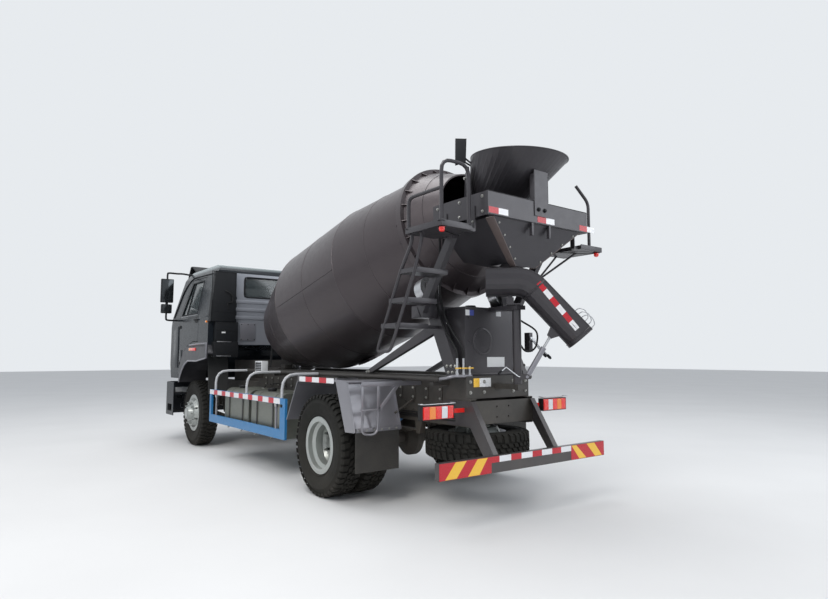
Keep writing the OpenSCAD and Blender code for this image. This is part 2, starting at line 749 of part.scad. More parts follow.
// Underrun guard: a bar on two slanted brackets
bar_x = -1856;
bar_half = 1110;
bar_z0 = 440;
bar_z1 = 584;
bar_t = 50;
bracket_y = 445;

module underrun_guard() {
    color(c_body) from_rear_axle() {
        block([bar_x, -bar_half, bar_z0], [bar_x + bar_t, bar_half, bar_z1]);
        both_sides() side_plate([[-1180, rail_top_z - 20], [-rail_tail - 20, rail_top_z - 20],
            [bar_x + bar_t - 3, bar_z1 - 5], [bar_x + bar_t - 3, bar_z0 + 20], [bar_x + bar_t + 60, bar_z0 + 20],
            [-rail_tail, rail_bottom_z + 10], [-1180, rail_bottom_z + 10]], rail_y, rail_y + 10);
        both_sides() side_plate([[-rail_tail - 20, rail_top_z - 20], [bar_x + bar_t - 3, bar_z1 - 5],
            [bar_x + bar_t + 6, bar_z1 - 25], [-rail_tail - 11, rail_top_z - 20]], rail_y - 50, rail_y + 1);
    }
}

module tail_lamps() {
    color(c_red) from_rear_axle() both_sides() {
        block([-1480, 620, 890], [-1420, 980, 1010]);
        block([-1430, rail_y + 10, 930], [-1410, 630, 970]);
    }
}

// Spare wheel slung under the tail
spare_x = -1130;
spare_z = 590;

module spare_tyre() {
    color(c_rubber) from_rear_axle() translate([spare_x, 0, spare_z]) rotate([90, 0, 0]) tyre_ring();
}

module spare_rim() {
    color(c_steel) from_rear_axle() translate([spare_x, 0, spare_z]) {
        rotate([90, 0, 0]) wheel_rim(false);
        rod([0, 0, -30 + wheel_offset], [0, 0, rail_top_z - 100 - spare_z], 14);
    }
}

// Upright filter canister between the cab and the drum
filter_x = 3330;
filter_y = -250;

module air_filter() {
    color(c_steel) from_rear_axle() {
        translate([filter_x, filter_y, 2020]) cylinder(h = 430, r = 150);
        translate([filter_x, filter_y, 2450]) intersection() {
            sphere(r = 150);
            cylinder(h = 160, r = 150);
        }
        block([filter_x - 40, filter_y - 40, rail_top_z + 20], [filter_x + 40, filter_y + 40, 2021]);
        block([filter_x - 40, -rail_y + subframe_w, rail_top_z + 10], [filter_x + 40, rail_y - subframe_w, rail_top_z + 25]);
    }
}

// Wheels. A wheel is drawn about the Y axis, its outer side towards +Y

module tyre_ring() {
    rotate([90, 0, 0]) rotate_extrude($fn = 96) polygon([
        [bead_d / 2 + seat, -rim_w / 2 + seat], [bead_d / 2 + rim_flange_h + 6, -rim_w / 2 + seat],
        [bead_d / 2 + rim_flange_h + 28, -rim_w / 2 - 14], [bead_d / 2 + 130, -tyre_w / 2],
        [tyre_d / 2 - 60, -tyre_w / 2 + 14], [tyre_d / 2 - 20, -tyre_w / 2 + 28], [tyre_d / 2 - 4, -tyre_w / 2 + 50],
        [tyre_d / 2, 0],
        [tyre_d / 2 - 4, tyre_w / 2 - 50], [tyre_d / 2 - 20, tyre_w / 2 - 28], [tyre_d / 2 - 60, tyre_w / 2 - 14],
        [bead_d / 2 + 130, tyre_w / 2], [bead_d / 2 + rim_flange_h + 28, rim_w / 2 + 14],
        [bead_d / 2 + rim_flange_h + 6, rim_w / 2 - seat], [bead_d / 2 + seat, rim_w / 2 - seat]]);
}

// A rim with its dished disc. out is true where the disc's bolting face is towards +Y
module wheel_rim(studs) {
    flange_r = bead_d / 2 + rim_flange_h;
    well_r = bead_d / 2 - 34;
    disc_y = wheel_offset;
    difference() {
        rotate([-90, 0, 0]) rotate_extrude($fn = 96) polygon([
            [bead_d / 2, -rim_w / 2], [flange_r, -rim_w / 2], [flange_r, -rim_w / 2 - 10], [bead_d / 2 - 12, -rim_w / 2 - 10],
            [bead_d / 2 - 12, -62], [well_r - 12, -38], [well_r - 12, 38], [bead_d / 2 - 12, 62],
            [bead_d / 2 - 30, disc_y - 66], [stud_pcd / 2 + 34, disc_y - 14], [140, disc_y - 14],
            [140, disc_y], [stud_pcd / 2 + 40, disc_y], [bead_d / 2 - 14, disc_y - 52],
            [bead_d / 2 - 12, rim_w / 2 + 10], [flange_r, rim_w / 2 + 10], [flange_r, rim_w / 2],
            [bead_d / 2, rim_w / 2], [bead_d / 2, 62], [well_r, 38], [well_r, -38], [bead_d / 2, -62]]);
        for (i = [0 : hand_holes - 1]) rotate([0, (i + 0.5) * 360 / hand_holes, 0])
            translate([bead_d / 2 - 33, disc_y - 100, 0]) rotate([-90, 0, 0]) cylinder(h = 120, r = hand_hole_r * 0.62, $fn = 24);
    }
    if (studs) for (i = [0 : stud_count - 1]) rotate([0, i * 360 / stud_count, 0])
        translate([stud_pcd / 2, disc_y - 1, 0]) rotate([-90, 0, 0]) {
            cylinder(h = 26, r = 17, $fn = 6);
            cylinder(h = 46, r = stud_r, $fn = 20);
        }
}

// A hub that the disc is bolted to: [radius, y] outline about the spindle's bore
module hub(bore_r, inner, outer) {
    rotate([-90, 0, 0]) rotate_extrude($fn = 64) polygon([
        [bore_r, inner], [200, inner], [205, inner + 120], [stud_pcd / 2 + 25, inner + 130],
        [stud_pcd / 2 + 25, wheel_offset - 14.5], [139, wheel_offset - 14.5], [125, wheel_offset + 10],
        [95, outer - 12], [80, outer], [0, outer], [0, outer - 20], [bore_r, outer - 20]]);
}

front_spindle_r = 40;
front_inner = -40;
front_outer = wheel_offset + 75;

module front_rim() {
    color(c_steel) {
        wheel_rim(true);
        hub(front_spindle_r + fit, front_inner, front_outer);
    }
}

module at_front_wheel(s) {
    from_rear_axle() translate([wheelbase, s * wheel_y, axle_z]) mirror([0, s < 0 ? 1 : 0, 0]) children();
}

module front_rim_left() { at_front_wheel(1) front_rim(); }
module front_rim_right() { at_front_wheel(-1) front_rim(); }
module front_tyre_left() { color(c_rubber) at_front_wheel(1) tyre_ring(); }
module front_tyre_right() { color(c_rubber) at_front_wheel(-1) tyre_ring(); }

// Rear twins: the outer wheel's disc is turned inwards against the inner wheel's disc
module at_rear_wheel(s) {
    from_rear_axle() mirror([0, s < 0 ? 1 : 0, 0]) translate([0, twin_y, axle_z]) children();
}

rear_outer = 95;

module rear_rims() {
    color(c_steel) {
        translate([0, -wheel_offset - seat, 0]) wheel_rim(false);
        translate([0, wheel_offset + seat, 0]) mirror([0, 1, 0]) wheel_rim(false);
        rotate([-90, 0, 0]) rotate_extrude($fn = 64) polygon([
            [rear_spindle_r + fit, -170], [200, -170], [205, -60], [stud_pcd / 2 + 22, -30],
            [stud_pcd / 2 + 22, -15], [139, -15], [139, 20], [115, 40], [100, rear_outer], [0, rear_outer],
            [0, rear_outer - 20], [rear_spindle_r + fit, rear_outer - 20]]);
        for (i = [0 : stud_count - 1]) rotate([0, i * 360 / stud_count, 0])
            translate([stud_pcd / 2, -16, 0]) rotate([-90, 0, 0]) {
                cylinder(h = 56, r = 17, $fn = 6);
                cylinder(h = 76, r = stud_r, $fn = 20);
            }
    }
}

module rear_tyres() {
    color(c_rubber) for (y = [-wheel_offset - seat, wheel_offset + seat]) translate([0, y, 0]) tyre_ring();
}

module rear_rims_left() { at_rear_wheel(1) rear_rims(); }
module rear_rims_right() { at_rear_wheel(-1) rear_rims(); }
module rear_tyres_left() { at_rear_wheel(1) rear_tyres(); }
module rear_tyres_right() { at_rear_wheel(-1) rear_tyres(); }

// Steering knuckle: a fork on the kingpin with the wheel's spindle
module knuckle() {
    color(c_chassis) {
        translate([0, pin_y, pin_z - eye_h]) cylinder(h = 2 * eye_h, r = pin_r);
        for (z = [pin_z - eye_h / 2 - 45, pin_z + eye_h / 2 + 5]) translate([0, pin_y, z]) {
            cylinder(h = 40, r = 48);
            block([-45, 0, 0], [45, 100, 40]);
        }
        block([-45, pin_y + 60, pin_z - eye_h / 2 - 45], [45, pin_y + 100, pin_z + eye_h / 2 + 45]);
        rod([0, pin_y + 90, pin_z], [0, wheel_y + front_outer - 30, pin_z], front_spindle_r);
    }
}

module knuckle_left() { from_rear_axle() translate([wheelbase, 0, 0]) knuckle(); }
module knuckle_right() { from_rear_axle() translate([wheelbase, 0, 0]) mirror([0, 1, 0]) knuckle(); }

// Cab. x is counted from the front axle in this part

cab_floor_z = 1630;
cab_low_z = 1070;
// Radius of the wheel arch in the cab's underside, about a point over the axle
arch_r = cab_floor_z - cab_low_z;
belt_z = 2130;
roof_side_z = 2800;

// Side outline of the cab, drawn in by t all round
function cab_side(t) = concat([[-cab_rear + t, cab_floor_z + t]],
    [for (a = [90 : -15 : 0]) [(arch_r + t) * cos(a), cab_low_z + (arch_r + t) * sin(a) + (a == 0 ? t : 0)]], [
    [cab_front - 70 - t, cab_low_z + t], [cab_front - t, cab_low_z + 230], [cab_front - t, belt_z - 150],
    [cab_front - 330 - t, cab_top_z - 150 - t * 0.4], [cab_front - 480 - t, cab_top_z - 50 - t],
    [cab_front - 800, cab_top_z - t], [-cab_rear + 300, cab_top_z - 30 - t], [-cab_rear + 60 + t, cab_top_z - 70 - t],
    [-cab_rear + t, cab_top_z - 150 - t]]);

// Cross outline of the cab, drawn in by t all round
function cab_cross(t) = [
    [-cab_w / 2 + t, 0], [cab_w / 2 - t, 0], [cab_w / 2 - t, belt_z], [cab_w / 2 - 130 - t, roof_side_z],
    [cab_w / 2 - 210 - t, cab_top_z - 40 - t], [cab_w / 2 - 330 - t, cab_top_z + 10 - t],
    [-cab_w / 2 + 330 + t, cab_top_z + 10 - t], [-cab_w / 2 + 210 + t, cab_top_z - 40 - t],
    [-cab_w / 2 + 130 + t, roof_side_z], [-cab_w / 2 + t, belt_z]];

module cab_solid(t) {
    intersection() {
        side_plate(cab_side(t), -cab_w, cab_w);
        cross_plate(cab_cross(t), -cab_rear - 10, cab_front + 10);
    }
}

module from_front_axle() {
    from_rear_axle() translate([wheelbase, 0, 0]) children();
}

// Door outline, drawn in by g all round
door_rear = -270;
door_front = 745;
door_low_z = 1120;

function door_outline(g) = [
    [door_rear + g, cab_floor_z + 60 + g], [door_rear + g, roof_side_z - 30 - g], [door_front - 300 - g, roof_side_z - 30 - g],
    [door_front - g, belt_z + 40], [door_front - g, door_low_z + g],
    [arch_r + 50 + g, door_low_z + g], [(arch_r + 60 + g) * cos(30), cab_low_z + (arch_r + 60 + g) * sin(30)],
    [(arch_r + 60 + g) * cos(60), cab_low_z + (arch_r + 60 + g) * sin(60)], [0, cab_floor_z + 60 + g]];

function door_window(g) = [
    [door_rear + 90 + g, belt_z + 20 + g], [door_rear + 90 + g, roof_side_z - 90 - g], [door_front - 350 - g, roof_side_z - 90 - g],
    [door_front - 90 - g, belt_z + 20 + g]];

module cab_shell() {
    color(c_body) from_front_axle() difference() {
        cab_solid(0);
        cab_solid(cab_t);
        both_sides() side_plate(door_outline(0), cab_w / 2 - 300, cab_w / 2 + 10);
        // Windscreen
        cross_plate([[-960, belt_z - 60], [960, belt_z - 60], [880, 2760], [-880, 2760]], cab_front - 500, cab_front + 20);
        // Rear window
        cross_plate([[-560, 2430], [560, 2430], [560, 2730], [-560, 2730]], -cab_rear - 10, -cab_rear + cab_t + 10);
        // Grille opening
        block([cab_front - 100, -760, 1280], [cab_front + 10, 760, 1830]);
    }
}

module cab_glass() {
    color(c_glass) from_front_axle() {
        intersection() {
            difference() {
                cab_solid(15);
                cab_solid(15 + glass_t);
            }
            cross_plate([[-959, belt_z - 59], [959, belt_z - 59], [879, 2759], [-879, 2759]], cab_front - 500, cab_front + 20);
        }
        block([-cab_rear + 15, -560 + seat, 2430 + seat], [-cab_rear + 15 + glass_t, 560 - seat, 2730 - seat]);
    }
}

module cab_door(s) {
    color(c_body) from_front_axle() mirror([0, s < 0 ? 1 : 0, 0]) difference() {
        intersection() {
            difference() {
                cab_solid(0);
                cab_solid(cab_t);
            }
            side_plate(door_outline(door_gap), cab_w / 2 - 300, cab_w / 2 + 10);
        }
        side_plate(door_window(0), cab_w / 2 - 300, cab_w / 2 + 10);
    }
}

module door_glass(s) {
    color(c_glass) from_front_axle() mirror([0, s < 0 ? 1 : 0, 0]) intersection() {
        difference() {
            cab_solid(15);
            cab_solid(15 + glass_t);
        }
        side_plate(door_window(seat), cab_w / 2 - 300, cab_w / 2 + 10);
    }
}

module door_left() { cab_door(1); }
module door_right() { cab_door(-1); }
module door_glass_left() { door_glass(1); }
module door_glass_right() { door_glass(-1); }

module seat_shape(y) {
    block([-300, y - 230, cab_floor_z + cab_t], [180, y + 230, cab_floor_z + cab_t + 300]);
    side_plate([[-300, cab_floor_z + 330], [-160, cab_floor_z + 330], [-260, cab_floor_z + 1000], [-380, cab_floor_z + 1000]],
        y - 230, y + 230);
}

module cab_interior() {
    color([0.15, 0.15, 0.16]) from_front_axle() {
        seat_shape(560);
        seat_shape(-560);
        side_plate([[800, 1250], [1150, 1250], [1150, 1960], [1000, 2010], [800, 1900]], -cab_w / 2 + cab_t, cab_w / 2 - cab_t);
        rod([820, 560, 1900], [560, 560, 2030], 25);
        translate([560, 560, 2030]) rotate([0, -62, 0]) {
            rotate_extrude($fn = 64) translate([220, 0]) circle(r = 14, $fn = 24);
            block([-215, -15, -8], [215, 15, 8]);
            block([-15, -215, -8], [15, 215, 8]);
        }
    }
}

module front_grille() {
    color(c_chassis) from_front_axle() difference() {
        block([cab_front - cab_t, -759, 1281], [cab_front + 10, 759, 1829]);
        for (z = [1310 : 85 : 1780]) block([cab_front - 20, -730, z], [cab_front + 11, 730, z + 50]);
    }
}

// Fender over a front wheel, fixed to the cab
fender_w = 420;
fender_t = 25;
fender_tail = -cab_rear - 100;

// Line of the fender's band, r out from the arch's middle, tail and toe ends included
function fender_line(r) = concat([[fender_tail, cab_low_z + r - 120], [fender_tail + 90, cab_low_z + r]],
    [for (a = [90 : -15 : 0]) [r * cos(a), cab_low_z + r * sin(a)]], [[r, cab_low_z - 60]]);

function reversed(points) = [for (i = [len(points) - 1 : -1 : 0]) points[i]];

module cab_fenders() {
    color(c_body) from_front_axle() both_sides()
        side_plate(concat(fender_line(arch_r - seat), reversed(fender_line(arch_r - fender_t))),
            cab_w / 2 - fender_w, cab_w / 2 + 50);
}

module sun_visor() {
    color(c_chassis) from_front_axle()
        side_plate([[cab_front - 440, cab_top_z - 60], [cab_front - 430, cab_top_z - 20], [cab_front - 120, cab_top_z - 90],
            [cab_front - 120, cab_top_z - 105]], -980, 980);
}

// Mirrors: a tall glass over a small one, on two arms from the roof corner
module mirrors() {
    color(c_chassis) from_front_axle() both_sides() difference() {
        union() {
        block([840, 1250, 2180], [910, 1480, 2600]);
        block([840, 1270, 1990], [920, 1460, 2160]);
        block([860, 1340, 2140], [890, 1380, 2190]);
        tube_run([[860, 980, 2740], [880, 1365, 2740], [880, 1365, 2590]], 16, 90, [1, 0, 0]);
        tube_run([[880, 1365, 2000], [880, 1365, 1900], [860, cab_w / 2 - 5, 1900]], 16, 60, [1, 0, 0]);
        }
        cab_solid(-seat);
    }
}

module intake_panel() {
    color(c_chassis) from_front_axle() difference() {
        block([-cab_rear - 110, 700, cab_floor_z], [-cab_rear, 1120, 2870]);
        block([-cab_rear - 111, 760, 2740], [-cab_rear - 30, 1060, 2830]);
    }
}

// Chute post, chute and its jack. The chute points straight back here and is then turned to its heading
post_low_z = 1190;
post_high_z = 1900;
post_r = 42;
post_pin_r = 25;
chute_pin_z = 1990;
chute_pin_u = -60;
chute_pin_r = 16;
head_z = 2030;
head_l = 290;
jack_low_z = 1260;
jack_low_u = 90;
jack_pin_r = 14;

// u runs out along the chute, from the post's axis
module along_chute() {
    from_rear_axle() translate([-chute_post, 0, 0]) rotate([0, 0, 180 + chute_heading]) children();
}

module chute_arm() {
    color(c_body) along_chute() {
        translate([0, 0, post_low_z]) cylinder(h = post_high_z - post_low_z, r = post_r);
        translate([0, 0, post_low_z - 60]) cylinder(h = post_high_z - post_low_z + 110, r = post_pin_r);
        translate([0, 0, post_high_z + 45]) cylinder(h = 15, r = post_r);
        // Ears of the chute's pin, over the upper bearing
        difference() {
            union() {
                block([-95, -70, post_high_z + 45], [40, 70, post_high_z + 58]);
                for (v = [-70, 50]) block([-95, v, post_high_z + 45], [-25, v + 20, chute_pin_z + 25]);
            }
            translate([chute_pin_u, 100, chute_pin_z]) rotate([90, 0, 0]) cylinder(h = 200, r = chute_pin_r + fit);
        }
        // Ears of the jack's foot
        difference() {
            for (v = [-45, 30]) translate([0, v, 0]) {
                block([20, 0, jack_low_z - 25], [jack_low_u, 15, jack_low_z + 25]);
                translate([jack_low_u, 15, jack_low_z]) rotate([90, 0, 0]) cylinder(h = 15, r = 25);
            }
            translate([jack_low_u, 100, jack_low_z]) rotate([90, 0, 0]) cylinder(h = 200, r = jack_pin_r + fit);
        }
        block([0, -45, jack_low_z - 25], [45, 45, jack_low_z + 25]);
    }
}

// The chute's U-shaped line, drawn in by t, from rim to rim: its floor's middle is at height 0
function trough_line(t) = let (r = chute_w / 2 - t) concat([[-r, chute_h]],
    [for (k = [-trough_steps : trough_steps]) let (a = k * 90 / trough_steps) [r * sin(a), chute_w / 2 - r * cos(a)]],
    [[r, chute_h]]);

trough_steps = 6;

// Path of the trough's floor: a level head, an elbow and a straight slope
elbow_steps = 6;
chute_path = concat([[-head_l, 0, head_z]],
    [for (k = [0 : elbow_steps]) let (a = k * chute_slope / elbow_steps)
        [elbow_r * sin(a), 0, head_z - elbow_r + elbow_r * cos(a)]],
    [[elbow_r * sin(chute_slope) + chute_l * cos(chute_slope), 0,
        head_z - elbow_r + elbow_r * cos(chute_slope) - chute_l * sin(chute_slope)]]);

jack_high_s = 420;

module chute_trough() {
    sweep(chute_path, concat(trough_line(0), reversed(trough_line(chute_t))), [0, 0, 1]);
}

module chute() {
    color(c_body) along_chute() {
        chute_trough();
        // Closed end of the head
        translate([-head_l + 3, 0, head_z]) rotate([90, 0, 90]) linear_extrude(chute_t)
            polygon([for (q = trough_line(chute_t / 2)) [q[0], min(q[1], chute_h - 10)]]);
        // Lug under the head on the chute's pin
        translate([chute_pin_u, 45, chute_pin_z]) rotate([90, 0, 0]) cylinder(h = 90, r = 24);
        block([chute_pin_u - 24, -45, chute_pin_z], [chute_pin_u + 24, 45, head_z + 5.5]);
        translate([chute_pin_u, 72, chute_pin_z]) rotate([90, 0, 0]) cylinder(h = 144, r = chute_pin_r);
        // Ears either side of the jack's eye
        for (v = [-45, 30]) translate([0, v + 15, 0]) rotate([90, 0, 0]) linear_extrude(15) polygon([
            on_slope(jack_high_s - 60, 6.5), on_slope(jack_high_s + 60, 6.5),
            on_slope(jack_high_s + 25, -70), on_slope(jack_high_s - 25, -70)]);
    }
}

// A point s down the slope from the elbow and h off the trough's floor
function on_slope(s, h) = [
    elbow_r * sin(chute_slope) + s * cos(chute_slope) + h * sin(chute_slope),
    head_z - elbow_r + elbow_r * cos(chute_slope) - s * sin(chute_slope) + h * cos(chute_slope)];

// The jack runs from its foot on the post to the chute's underside
jack_foot = [jack_low_u, 0, jack_low_z];
jack_drop = 45;
jack_eye = [on_slope(jack_high_s, -jack_drop)[0], 0, on_slope(jack_high_s, -jack_drop)[1]];
jack_vec = jack_eye - jack_foot;
jack_len = norm(jack_vec);
jack_lean = atan2(jack_vec[0], jack_vec[2]);
barrel_r = 26;
jack_rod_r = 13;

module along_jack() {
    along_chute() translate(jack_foot) rotate([0, jack_lean, 0]) children();
}

jack_body_l = 320;
jack_rod_l = 344;

module jack_barrel() {
    color(c_steel) along_jack() difference() {
        union() {
            translate([0, 0, 20]) cylinder(h = jack_body_l - 20, r = barrel_r);
            translate([0, 28, 0]) rotate([90, 0, 0]) cylinder(h = 56, r = 24);
        }
        translate([0, 0, 40]) cylinder(h = jack_len, r = jack_rod_r + fit);
    }
    // Pin of the barrel's foot
    color(c_steel) along_jack() translate([0, 46, 0]) rotate([90, 0, 0]) cylinder(h = 92, r = jack_pin_r);
}

module jack_rod() {
    color(c_steel) along_jack() {
        translate([0, 0, jack_len - jack_rod_l]) cylinder(h = jack_rod_l - 10, r = jack_rod_r);
        translate([0, 22, jack_len]) rotate([90, 0, 0]) cylinder(h = 44, r = 22);
    }
}

frame_rails();
engine();
front_axle();
rear_axle();
leaf_springs();
prop_shaft();
front_bumper();
head_lamps();
fuel_tank();
air_tanks();
side_guards();
subframe();
drum_drive();
drum_stand();
feed_hopper();
discharge_hopper();
rear_panel();
platforms();
ladder();
water_tank();
mudguards();
mud_flaps();
underrun_guard();
tail_lamps();
spare_tyre();
spare_rim();
air_filter();
cab_shell();
cab_interior();
cab_glass();
front_grille();
cab_fenders();
sun_visor();
mirrors();
intake_panel();
door_left();
door_glass_left();
door_right();
door_glass_right();
knuckle_left();
knuckle_right();
front_rim_left();
front_tyre_left();
front_rim_right();
front_tyre_right();
rear_rims_left();
rear_tyres_left();
rear_rims_right();
rear_tyres_right();
drum();
roller_left();
roller_right();
chute_arm();
chute();
jack_barrel();
jack_rod();
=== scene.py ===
import bmesh
import bpy
import json
import math
from mathutils import Matrix, Vector


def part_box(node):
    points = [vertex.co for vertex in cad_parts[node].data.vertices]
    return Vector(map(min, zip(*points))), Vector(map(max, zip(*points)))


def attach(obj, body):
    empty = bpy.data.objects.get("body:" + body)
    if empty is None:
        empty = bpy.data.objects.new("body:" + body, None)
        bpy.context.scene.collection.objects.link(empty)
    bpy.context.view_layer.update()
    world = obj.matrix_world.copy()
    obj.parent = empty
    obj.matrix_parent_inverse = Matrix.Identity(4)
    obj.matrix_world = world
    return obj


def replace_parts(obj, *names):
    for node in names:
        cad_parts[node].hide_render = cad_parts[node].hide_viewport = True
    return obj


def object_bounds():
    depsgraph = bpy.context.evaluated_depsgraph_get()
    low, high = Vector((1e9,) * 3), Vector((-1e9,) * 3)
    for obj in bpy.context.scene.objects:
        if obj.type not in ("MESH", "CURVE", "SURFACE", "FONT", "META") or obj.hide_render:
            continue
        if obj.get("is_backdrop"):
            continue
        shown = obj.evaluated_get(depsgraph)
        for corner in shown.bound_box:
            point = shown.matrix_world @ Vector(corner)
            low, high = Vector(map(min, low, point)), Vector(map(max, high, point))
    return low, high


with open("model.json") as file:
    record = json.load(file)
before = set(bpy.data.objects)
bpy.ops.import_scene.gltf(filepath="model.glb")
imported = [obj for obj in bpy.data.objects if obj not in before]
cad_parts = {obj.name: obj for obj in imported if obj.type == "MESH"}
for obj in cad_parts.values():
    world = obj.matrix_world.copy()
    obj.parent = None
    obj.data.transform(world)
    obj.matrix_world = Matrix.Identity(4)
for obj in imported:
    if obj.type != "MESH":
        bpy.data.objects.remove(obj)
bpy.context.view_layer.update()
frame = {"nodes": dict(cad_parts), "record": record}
joint = {j["name"]: j for j in frame["record"]["behaviour"]["joints"]}
REAR = joint["rear_left_roll"]["pos_m"][0]
FRONT = joint["front_left_roll"]["pos_m"][0]
AXLE_Z = joint["front_left_roll"]["pos_m"][2]
X, Y, Z = Vector((1, 0, 0)), Vector((0, 1, 0)), Vector((0, 0, 1))
MM = 0.001

# Sizes are in millimetres. P() and C() turn a place into metres of the shared frame.
# s is 1 on the left side of the truck and -1 on the right.


def P(x, y, z):
    """A point in millimetres, x counted from the rear axle."""
    return Vector((REAR + x / 1000, y / 1000, z / 1000))


def C(x, y, z):
    """The same, x counted from the front axle."""
    return Vector((FRONT + x / 1000, y / 1000, z / 1000))


# Camera: its place and aim were fitted to the photograph's wheels, rails and drum
scene = bpy.context.scene
cam_data = bpy.data.cameras.new("camera")
cam = bpy.data.objects.new("camera", cam_data)
scene.collection.objects.link(cam)
cam.location = P(-5653, 4267, 1456)
yaw, pitch = math.radians(37.41), math.radians(5.42)
aim = Vector((math.cos(yaw) * math.cos(pitch), -math.sin(yaw) * math.cos(pitch), math.sin(pitch)))
cam.rotation_euler = aim.to_track_quat("-Z", "Y").to_euler()
cam_data.lens, cam_data.sensor_width, cam_data.sensor_fit = 25.911, 36.0, "HORIZONTAL"
cam_data.clip_start, cam_data.clip_end = 0.05, 200
scene.camera = cam
scene.view_settings.view_transform = "Standard"


# ---------------------------------------------------------------- materials

DUST_COLOR = (0.30, 0.26, 0.21, 1.0)
DUST_TOP = 1.9          # height in metres above which no dust lies
ROUGH_SPREAD = 0.22     # how far the roughness varies from place to place
DENT_SCALE = 1.6


def node(tree, kind, inputs=(), **settings):
    """A new shader node. inputs maps its sockets to values or to other nodes' outputs."""
    x = tree.nodes.new("ShaderNode" + kind)
    for k, v in settings.items():
        setattr(x, k, v)
    for k, v in dict(inputs).items():
        if isinstance(v, bpy.types.NodeSocket):
            tree.links.new(v, x.inputs[k])
        else:
            x.inputs[k].default_value = v
    return x


def material(name, color, rough=0.5, metal=0.0, coat=0.0, vary=0.08, scale=5.0, dust=0.0, grain=0.0,
             grain_scale=180.0, dents=0.0, spec=0.5, alpha=1.0, color2=None, split=None, glow=0.0,
             stretch=(1, 1, 1)):
    """Base colour with cloudy variation, dust that thins with height, roughness clouds, fine grain
    and slow dents in the bump. split = (axis, limit, soft) puts color2 beyond the limit."""
    m = bpy.data.materials.new(name)
    m.use_nodes = True
    tree = m.node_tree
    shader = tree.nodes["Principled BSDF"]
    for socket, value in (("Metallic", metal), ("Coat Weight", coat), ("Coat Roughness", 0.08),
                          ("Specular IOR Level", spec), ("Alpha", alpha)):
        shader.inputs[socket].default_value = value
    place = node(tree, "TexCoord").outputs["Object"]
    mapped = node(tree, "Mapping", {"Vector": place, "Scale": stretch}).outputs[0]
    height = node(tree, "SeparateXYZ", {0: place}).outputs

    def noise(at_scale, detail=4.0, soft=0.55):
        return node(tree, "TexNoise", {"Vector": mapped, "Scale": at_scale, "Detail": detail,
                                       "Roughness": soft}).outputs["Fac"]

    def calc(operation, a, b, clamp=False):
        return node(tree, "Math", {0: a, 1: b}, operation=operation, use_clamp=clamp).outputs[0]

    def mix(share, a, b):
        return node(tree, "Mix", {0: share, 6: a, 7: b}, data_type="RGBA").outputs[2]

    def tone(c, factor):
        return (*(min(1.0, v * factor) for v in c), 1.0)

    cloud = noise(scale)
    tint = mix(cloud, tone(color, 1 - vary), tone(color, 1 + vary))
    if color2:
        axis, limit, soft = split
        edge = calc("DIVIDE", calc("SUBTRACT", height[axis], limit), soft, True)
        tint = mix(edge, tint, mix(cloud, tone(color2, 1 - vary), tone(color2, 1)))
    if dust:
        low = calc("DIVIDE", calc("SUBTRACT", DUST_TOP, height[2]), DUST_TOP, True)
        patches = calc("MULTIPLY", calc("POWER", low, 1.6), noise(2.2, 8, 0.7))
        tint = mix(calc("MULTIPLY", patches, dust * 1.9, True), tint, DUST_COLOR)
    tree.links.new(tint, shader.inputs["Base Color"])
    shine = calc("ADD", calc("MULTIPLY", noise(scale * 3.1), ROUGH_SPREAD), rough - ROUGH_SPREAD / 2, True)
    tree.links.new(shine, shader.inputs["Roughness"])
    below = None
    for strength, at_scale, deep in ((grain, grain_scale, 0.002), (dents, DENT_SCALE, 0.03)):
        if strength:
            bump = node(tree, "Bump", {"Strength": strength, "Distance": deep, "Height": noise(at_scale, 3.0)})
            if below:
                tree.links.new(below, bump.inputs["Normal"])
            below = bump.outputs[0]
    if below:
        tree.links.new(below, shader.inputs["Normal"])
    if glow:
        shader.inputs["Emission Strength"].default_value = glow
        shader.inputs["Emission Color"].default_value = (*color, 1.0)
    return m


